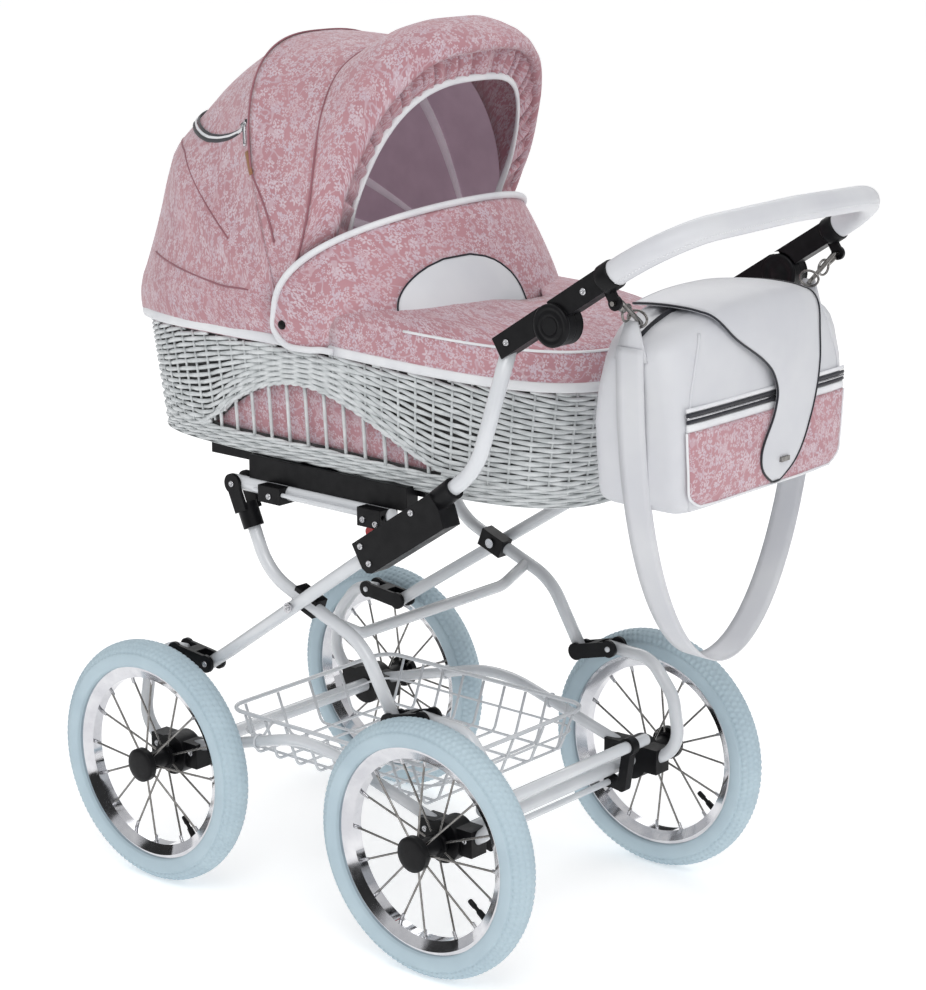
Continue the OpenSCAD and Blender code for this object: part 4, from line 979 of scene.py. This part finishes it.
def apron():
    top = 52
    steps = [(0.5, 1), (-1.5, 12), (-2.2, 26), (-1.2, 40), (1.0, top - 3), (3.0, top + 1), (9, top + 5.5),
             (22, top + 10.5), (44, top + 15), (70, top + 18.5), (98, top + 21), (128, top + 22), (158, top + 22.4),
             (180, top + 22.5)]
    rows = np.array([lid(m, RIM_Z + h, T_LID) for m, h in steps])
    rows[5:] = rumple(rows, 2.4, 85, 2.0)[5:]
    shape, uv = shell(rows, rows - 5 * normals(rows))
    add("apron_cloth", shape, ROSE, "bassinet", ["apron"], uv)
    add("apron_piping", sweep(lid(0.6, RIM_Z + top - 0.5, T_LID[7:-7]), 3.6, 10), TRIM, "bassinet")
    add("apron_rim_binding", sweep(lid(-1.6, RIM_Z + 6.5, T_LID), 5.6, 12, ref=UP, tall=2.3), TRIM, "bassinet")


def flap_point(t, s):
    """Point of the wind flap: t goes round it, s from its foot to its top edge."""
    c, y = max(0.0, cos(radians(t))), sin(radians(t))
    wide = power(y, 0.8)
    high = RIM_Z + 42 + 147 * sqrt(c)
    foot_x, edge_x = -40 + 240 * c ** 0.8, -40 + 172 * c
    low = RIM_Z + 3 + 22 * max(0.0, (-8 - foot_x) / 32) ** 2
    if foot_x > 40:
        low = RIM_Z + 3 + min(1.0, (foot_x - 40) / 50) * (56 - 22 * wide ** 4)
    high -= 10 * max(0.0, (-14 - foot_x) / 26) ** 2
    side = wide + s * (y - wide)
    return vec(foot_x + s * (edge_x - foot_x), 217.5 * side, low + s * (high - low))


def wind_flap():
    ss = np.linspace(0, 1, 15)
    base = np.array([[flap_point(t, s) for t in T_FLAP] for s in ss])
    n = normals(base)
    puff = np.sin(np.pi * np.clip(ss, 0.02, 0.98)) ** 0.6
    outer = rumple(base - n * 3.0 + n * (5.0 * puff)[:, None, None], 1.6, 60, 4.0)
    shape, uv = shell(outer, base - n * 6.6)
    add("wind_flap_cloth", shape, ROSE, "bassinet", ["wind_flap"], uv)
    side = [vec(62 - 10 * k, -212, RIM_Z + 6) for k in range(3)]
    side += [p for p in base[0][19::-1] if p[0] < 26] + [flap_point(-90, 0.1 * k) for k in range(10)]
    path = eased(resample(side + list(base[-1]) + [p * MIRROR for p in side[::-1]], 260), 3)
    add("wind_flap_binding", sweep(path, 9.0, 12), TRIM, "bassinet")
    snap = [(0.1, 3.4), (4.2, 3.2), (5.8, 2.2), (6.2, 0.6), (6.2, -2)]
    snaps = [lathe(snap, (-22, s * 218.6, 824), (0, s, 0), 28) for s in (-1, 1)]
    add("wind_flap_snaps", join(snaps), BLACK, "bassinet")
    patch()


def flap_turn(y, s):
    """Turn round the wind flap at which its half width is y, at the share s of its height."""
    ts = np.linspace(-80, 80, 161)
    return float(np.interp(y, [flap_point(t, s)[1] for t in ts], ts))


def patch():
    """Bare half-oval panel sewn on the flap, with a piped edge."""
    rows = []
    for k in range(13):
        u = k / 12
        s, half = 0.03 + 0.5 * u, 91 * sqrt(max(0.0, 1 - (u * 0.98) ** 2.4))
        lift = vec(5.0 + 1.4 * sin(pi * u), -3.0, 1.0)
        rows.append([flap_point(flap_turn(-76 + v * half, s), s) + lift for v in 2 * np.arange(41) / 40 - 1])
    rows = np.array(rows)
    shape, uv = shell(rows, rows - vec(2.2, 0, 0.5))
    add("flap_panel", shape, HIDE, "bassinet", uv=uv)
    add("flap_panel_piping", sweep(border(rows, 160), 2.6, 8), NAVY, "bassinet")


# Handle: padded grip with a sewn seam, hinge discs, screws
def handle():
    pts = [(0.3, -PUSH_Y), (97.0, -PUSH_Y), (111, 0), (97.0, PUSH_Y), (0.3, PUSH_Y)]
    spots = [at_y(ARM_END + pol(a, ARM_A), y) for a, y in pts]
    bends = [rounded(spots[:3], 92, 16)[:-1], rounded(spots[1:4], 400, 8)[1:-1], rounded(spots[2:], 92, 16)[1:]]
    path = resample(np.concatenate(bends), 150)
    up = at_y(pol(1, ARM_A + 90), 0)
    add("grip_sleeve", sweep(path, 32, 32, ref=up), HIDE, "handle", ["grip"])
    inward = np.cross(unit(np.gradient(path, axis=0)), up)
    dense = resample(path + 15.9 * (inward * 0.64 - up * 0.77), 560)
    add("grip_stitches", join([sweep(dense[i:i + 3], 1.5, 6) for i in range(2, 556, 4)]), TRIM, "handle")
    collar = [(12.2, 9), (17.4, 8.4), (18.2, 6), (18.2, -9), (17, -12), (12.5, -14)]
    ring = [(12.2, 4.6), (13.0, 5.2), (16, 5.2), (17, 3.8), (20, 3.8), (21, 4.8), (24.5, 4.4), (26.4, 2.5), (26.4, -1)]
    back = [(0.1, 2.6), (10, 2.6), (11, 1.6), (18, 1.6), (19, 2.6), (24, 2.4), (26.2, 1), (26.2, -1)]
    collars, rings, backs = [], [], []
    for s in (-1, 1):
        collars.append(lathe(collar, at_y(ARM_END, s * PUSH_Y), at_y(pol(1, ARM_A), 0), 36))
        rings.append(lathe(ring, at_y(HINGE, s * (PUSH_Y + 14)), (0, s, 0), 56))
        backs.append(lathe(back, at_y(HINGE, s * (PUSH_Y - 12)), (0, -s, 0), 56))
    add("grip_collars", join(collars), BLACK, "handle")
    add("hinge_rings", join(rings), BLACK, "handle")
    add("hinge_backs", join(backs), BLACK, "push_frame")


def screws():
    head = [(0.1, 0.9), (1.9, 0.9), (2.0, 2.0), (3.4, 2.1), (4.3, 1.4), (4.5, -0.6)]
    box_y, pin_y, link_y, rail_y = PUSH_Y + 16, FRAME_Y + 15.6, FRAME_Y + 14.6, PUSH_Y - 16.6
    on_box = [(21, -12), (20, 13), (125, 14)]
    sets = {
        "push_frame": [(BOX_O + pol(a, FOLD_A) + pol(b, FOLD_A + 90), box_y) for a, b in on_box]
        + [(PUSH_TOP + pol(2, ARM_A), PUSH_Y + 12)],
        "handle": [(PUSH_TOP + pol(140, ARM_A), PUSH_Y + 12)],
        "front_links": [(FRONT_PIN_IN, link_y)],
        "rear_links": [(REAR_PIN_IN, link_y)],
        "undercarriage": [(FRONT_PIN_OUT, pin_y), (REAR_PIN_OUT, pin_y)]
        + [(vec(x + d, AXLE_Z + 8), FRAME_Y + 16) for x in (FRONT_X, REAR_X) for d in (-34, 34)],
        "leg_frame": [(ELBOW, pin_y), (CROSS, FRAME_Y + 38)],
        "carrier": [(p, rail_y) for p in ((-50, 588), (120, 586), (142, 583))]}
    for body, spots in sets.items():
        heads = [lathe(head, at_y(p, y), ACROSS, 20) for p, y in spots]
        add("screws_" + body, join(both(heads)), STEEL, body)


# Bag: soft body with a floral pocket, zips, flap, strap and swivel hooks
BAG_DEPTH, BAG_LOW_B, BAG_FLARE = 69, 174, 20


def bag_side(z):
    return BAG_LOW_B + BAG_FLARE * (z - BAG_Z) / BAG_H


def bag_ring(z, inset):
    """Ring of the bag's body: boxy low down, drawn to a ridge at the top, which falls to its ends."""
    high = max(0.0, (z - BAG_Z - 128) / 120)
    n = 0.22 + 0.56 * high ** 1.1
    c, s = cos_sin(turns(120))
    x = BAG_X + (BAG_DEPTH - inset) * power(c, n)
    y = (bag_side(z) - inset) * power(s, n)
    return np.stack([x, y, z - BAG_SAG * high ** 2 * np.abs(y / bag_side(z)) ** 2.5], 1)


def bag():
    heights = [(0, 20), (2.5, 12), (7, 5), (13, 1.5), (22, 0.3), (60, -1.2), (105, -1.0), (150, -0.4), (195, 0.2),
               (218, 1.5), (231, 6), (240, 14), (245.5, 24), (BAG_H, 40)]
    rings = np.array([bag_ring(BAG_Z + h, i) for h, i in heights])
    body = rings.copy()
    for p in body[1:-1].reshape(-1, 3):
        p += 1.4 * noise.noise(Vector(p / 48)) * unit(vec(p[0] - BAG_X, p[1] * 0.4, 0) + 1e-6)
    add("bag_shell", loft(body), HIDE, "bag", ["bag_body"])
    seams = []
    for k in (12, 48):
        loop = [p + unit(p - vec(BAG_X, 0, p[2])) * 0.6 for p in rings[2:11, k]]
        seams += both([sweep(resample(loop, 40), 3.6, 8)])
    add("bag_gusset_piping", join(seams), HIDE, "bag")
    half = BAG_LOW_B + BAG_FLARE
    zip_line = [(BAG_X, y, BAG_TOP + 1.0 - BAG_SAG * abs(y / half) ** 2.5) for y in np.linspace(-172, 172, 60)]
    add("bag_top_zip", sweep(zip_line, 3.4, 10, ref=UP, tall=2.4), NAVY, "bag")
    front = BAG_X + BAG_DEPTH + 0.5
    rows = []
    for k in range(19):
        u = k / 18
        z = BAG_Z + 12 + 94 * u
        half = bag_side(z) - (12 + 22 * max(0.0, 1 - u * 5) ** 2)
        puff = 2.0 + 5.0 * sin(pi * min(1, 0.06 + 0.9 * u)) ** 0.6
        rows.append([(front + puff * (1 - v ** 8), half * v, z) for v in 2 * np.arange(41) / 40 - 1])
    rows = rumple(np.array(rows), 1.2, 40, 8.0)
    shape, uv = shell(rows, rows * vec(0, 1, 1) + vec(front - 1.0, 0, 0))
    add("bag_pocket", shape, ROSE, "bag", uv=uv)
    add("bag_pocket_piping", sweep(border(rows[::-1], 200), 3.2, 8), TRIM, "bag")
    for name, h, d, tall, mat, lift in (
            ("band", 111, 3.4, 3.2, TRIM, 1.0), ("low", 119, 3.4, 1.4, NAVY, 1.6),
            ("teeth", 123.2, 3.0, 1.1, STEEL, 2.0), ("high", 127.4, 3.4, 1.4, NAVY, 1.6),
            ("edge", 133, 3.4, 1.6, TRIM, 1.0)):
        half = bag_side(BAG_Z + h) - 14
        line = [(front + lift - 2.6 * (abs(y) / half) ** 8, y, BAG_Z + h) for y in np.linspace(-half, half, 60)]
        add("bag_zip_" + name, sweep(line, d, 10, ref=UP, tall=tall), mat, "bag")
    bag_flap(front)
    strap()
    clips()


def bag_flap(front):
    """The flap, from the bag's back over its top and down its front, with its left and right edge at each key."""
    gap = 1.2
    f, top = front + gap + 0.6, BAG_TOP + gap
    over = [(BAG_X - 55, 1.5, -112, 112), (BAG_X - 30, 4.5, -114, 114), (BAG_X, 6, -115, 114),
            (BAG_X + 30, 5, -113, 113), (f - 16, 1, -110, 110), (f - 4, -10, -104, 108)]
    down = [(1.5, -28, -90, 106), (3, -40, -78, 104), (6, -61, -46, 101), (8.5, -89, -6, 100), (9.5, -119, 8, 95),
            (9, -150, 0, 87), (8, -187, -24, 72), (7, -210, -24, 58), (6, -226, -12, 40), (5.5, -234, 4, 20)]
    keys = np.array(over + [(f + x, *rest) for x, *rest in down]) + vec(0, top, 0, 0)
    rows = []
    for i, (x, z, left, right) in enumerate(eased(resample(keys, 64, by=2), 4)):
        sag = 11 * min(1, max(0, (34 - i) / 16))
        rows.append([(x - 1.5 * v ** 4, 0.5 * (left + right) + 0.5 * (right - left) * v, z - sag * abs(v) ** 2.5)
                     for v in np.linspace(-1, 1, 25)])
    rows = np.array(rows)
    shape, _ = shell(rows, rows + 2.6 * normals(rows), flip=True)
    add("bag_flap_cover", shape, HIDE, "bag_flap", ["bag_flap"])
    add("bag_flap_piping", sweep(border(rows, 240), 3.0, 8), NAVY, "bag_flap")


def strap():
    count, wide, thick = 120, 40, 1.8
    top, low, half = BAG_TOP - 44, BAG_Z - 224, bag_side(BAG_TOP - 44) + 2.4
    a = np.linspace(0, pi, count)
    y = -half * np.cos(a) * (1 - 0.1 * np.sin(a))
    z = top - (top - low) * np.abs(np.sin(a)) ** 0.8
    path = resample(np.stack([np.full(count, BAG_X), y, z], 1), count)
    twist = 1.2 * np.sin(np.linspace(0, 3 * pi, count))
    t = np.gradient(path, axis=0)
    n = unit(np.stack([np.zeros(count), -t[:, 2], t[:, 1]], 1))
    outer = np.array([[p + vec(w, 0, 0) + m * (tw * w / wide - thick / 2) for w in np.linspace(-wide / 2, wide / 2, 5)]
                      for p, m, tw in zip(path, n, twist)])
    shape, uv = shell(outer, outer + n[:, None] * thick, flip=True)
    piece = add("bag_strap_webbing", shape, HIDE, "bag", ["bag_strap"], uv)
    foot = BAG_TOP - 60
    tabs = []
    for s in (-1, 1):
        faces = [[[(BAG_X + x, s * (bag_side(foot) + 1.0 + out + grow * k), foot + 12 * k)
                   for x in (4 * k - 24, 0, 24 - 4 * k)] for k in range(5)] for out, grow in ((1.5, 0.05), (-2.5, 0))]
        tabs.append(shell(*faces, flip=s > 0)[0])
    add("bag_strap_tabs", join(tabs), HIDE, "bag")


def clips():
    hook = at_y(HOOK, PUSH_Y)
    low = vec(BAG_X + 4, bag_side(BAG_TOP) - 10, BAG_TOP - 14)
    d = unit(low - hook)
    n = unit(np.cross(d, vec(*ALONG)))
    ring = [hook + d * 32 + 10 * (cos(t) * d + sin(t) * n) for t in turns(28)]
    dee = [low + vec(14 * sin(t), 0, 10 * cos(t) + 4) for t in turns(28)]
    parts = [lathe([(3.4, 16), (4.2, 14), (4.2, 2), (3.2, 0)], hook + d * 8, d, 20)]
    parts += [sweep(loop, 3.2, 10, closed=True) for loop in (ring, dee)]
    add("bag_clip_trim", join(both(parts)), NICKEL, "bag")


stage()
dress_nodes()
wheels()
tubes()
wicker()
bedding()
hood()
apron()
wind_flap()
handle()
screws()
bag()
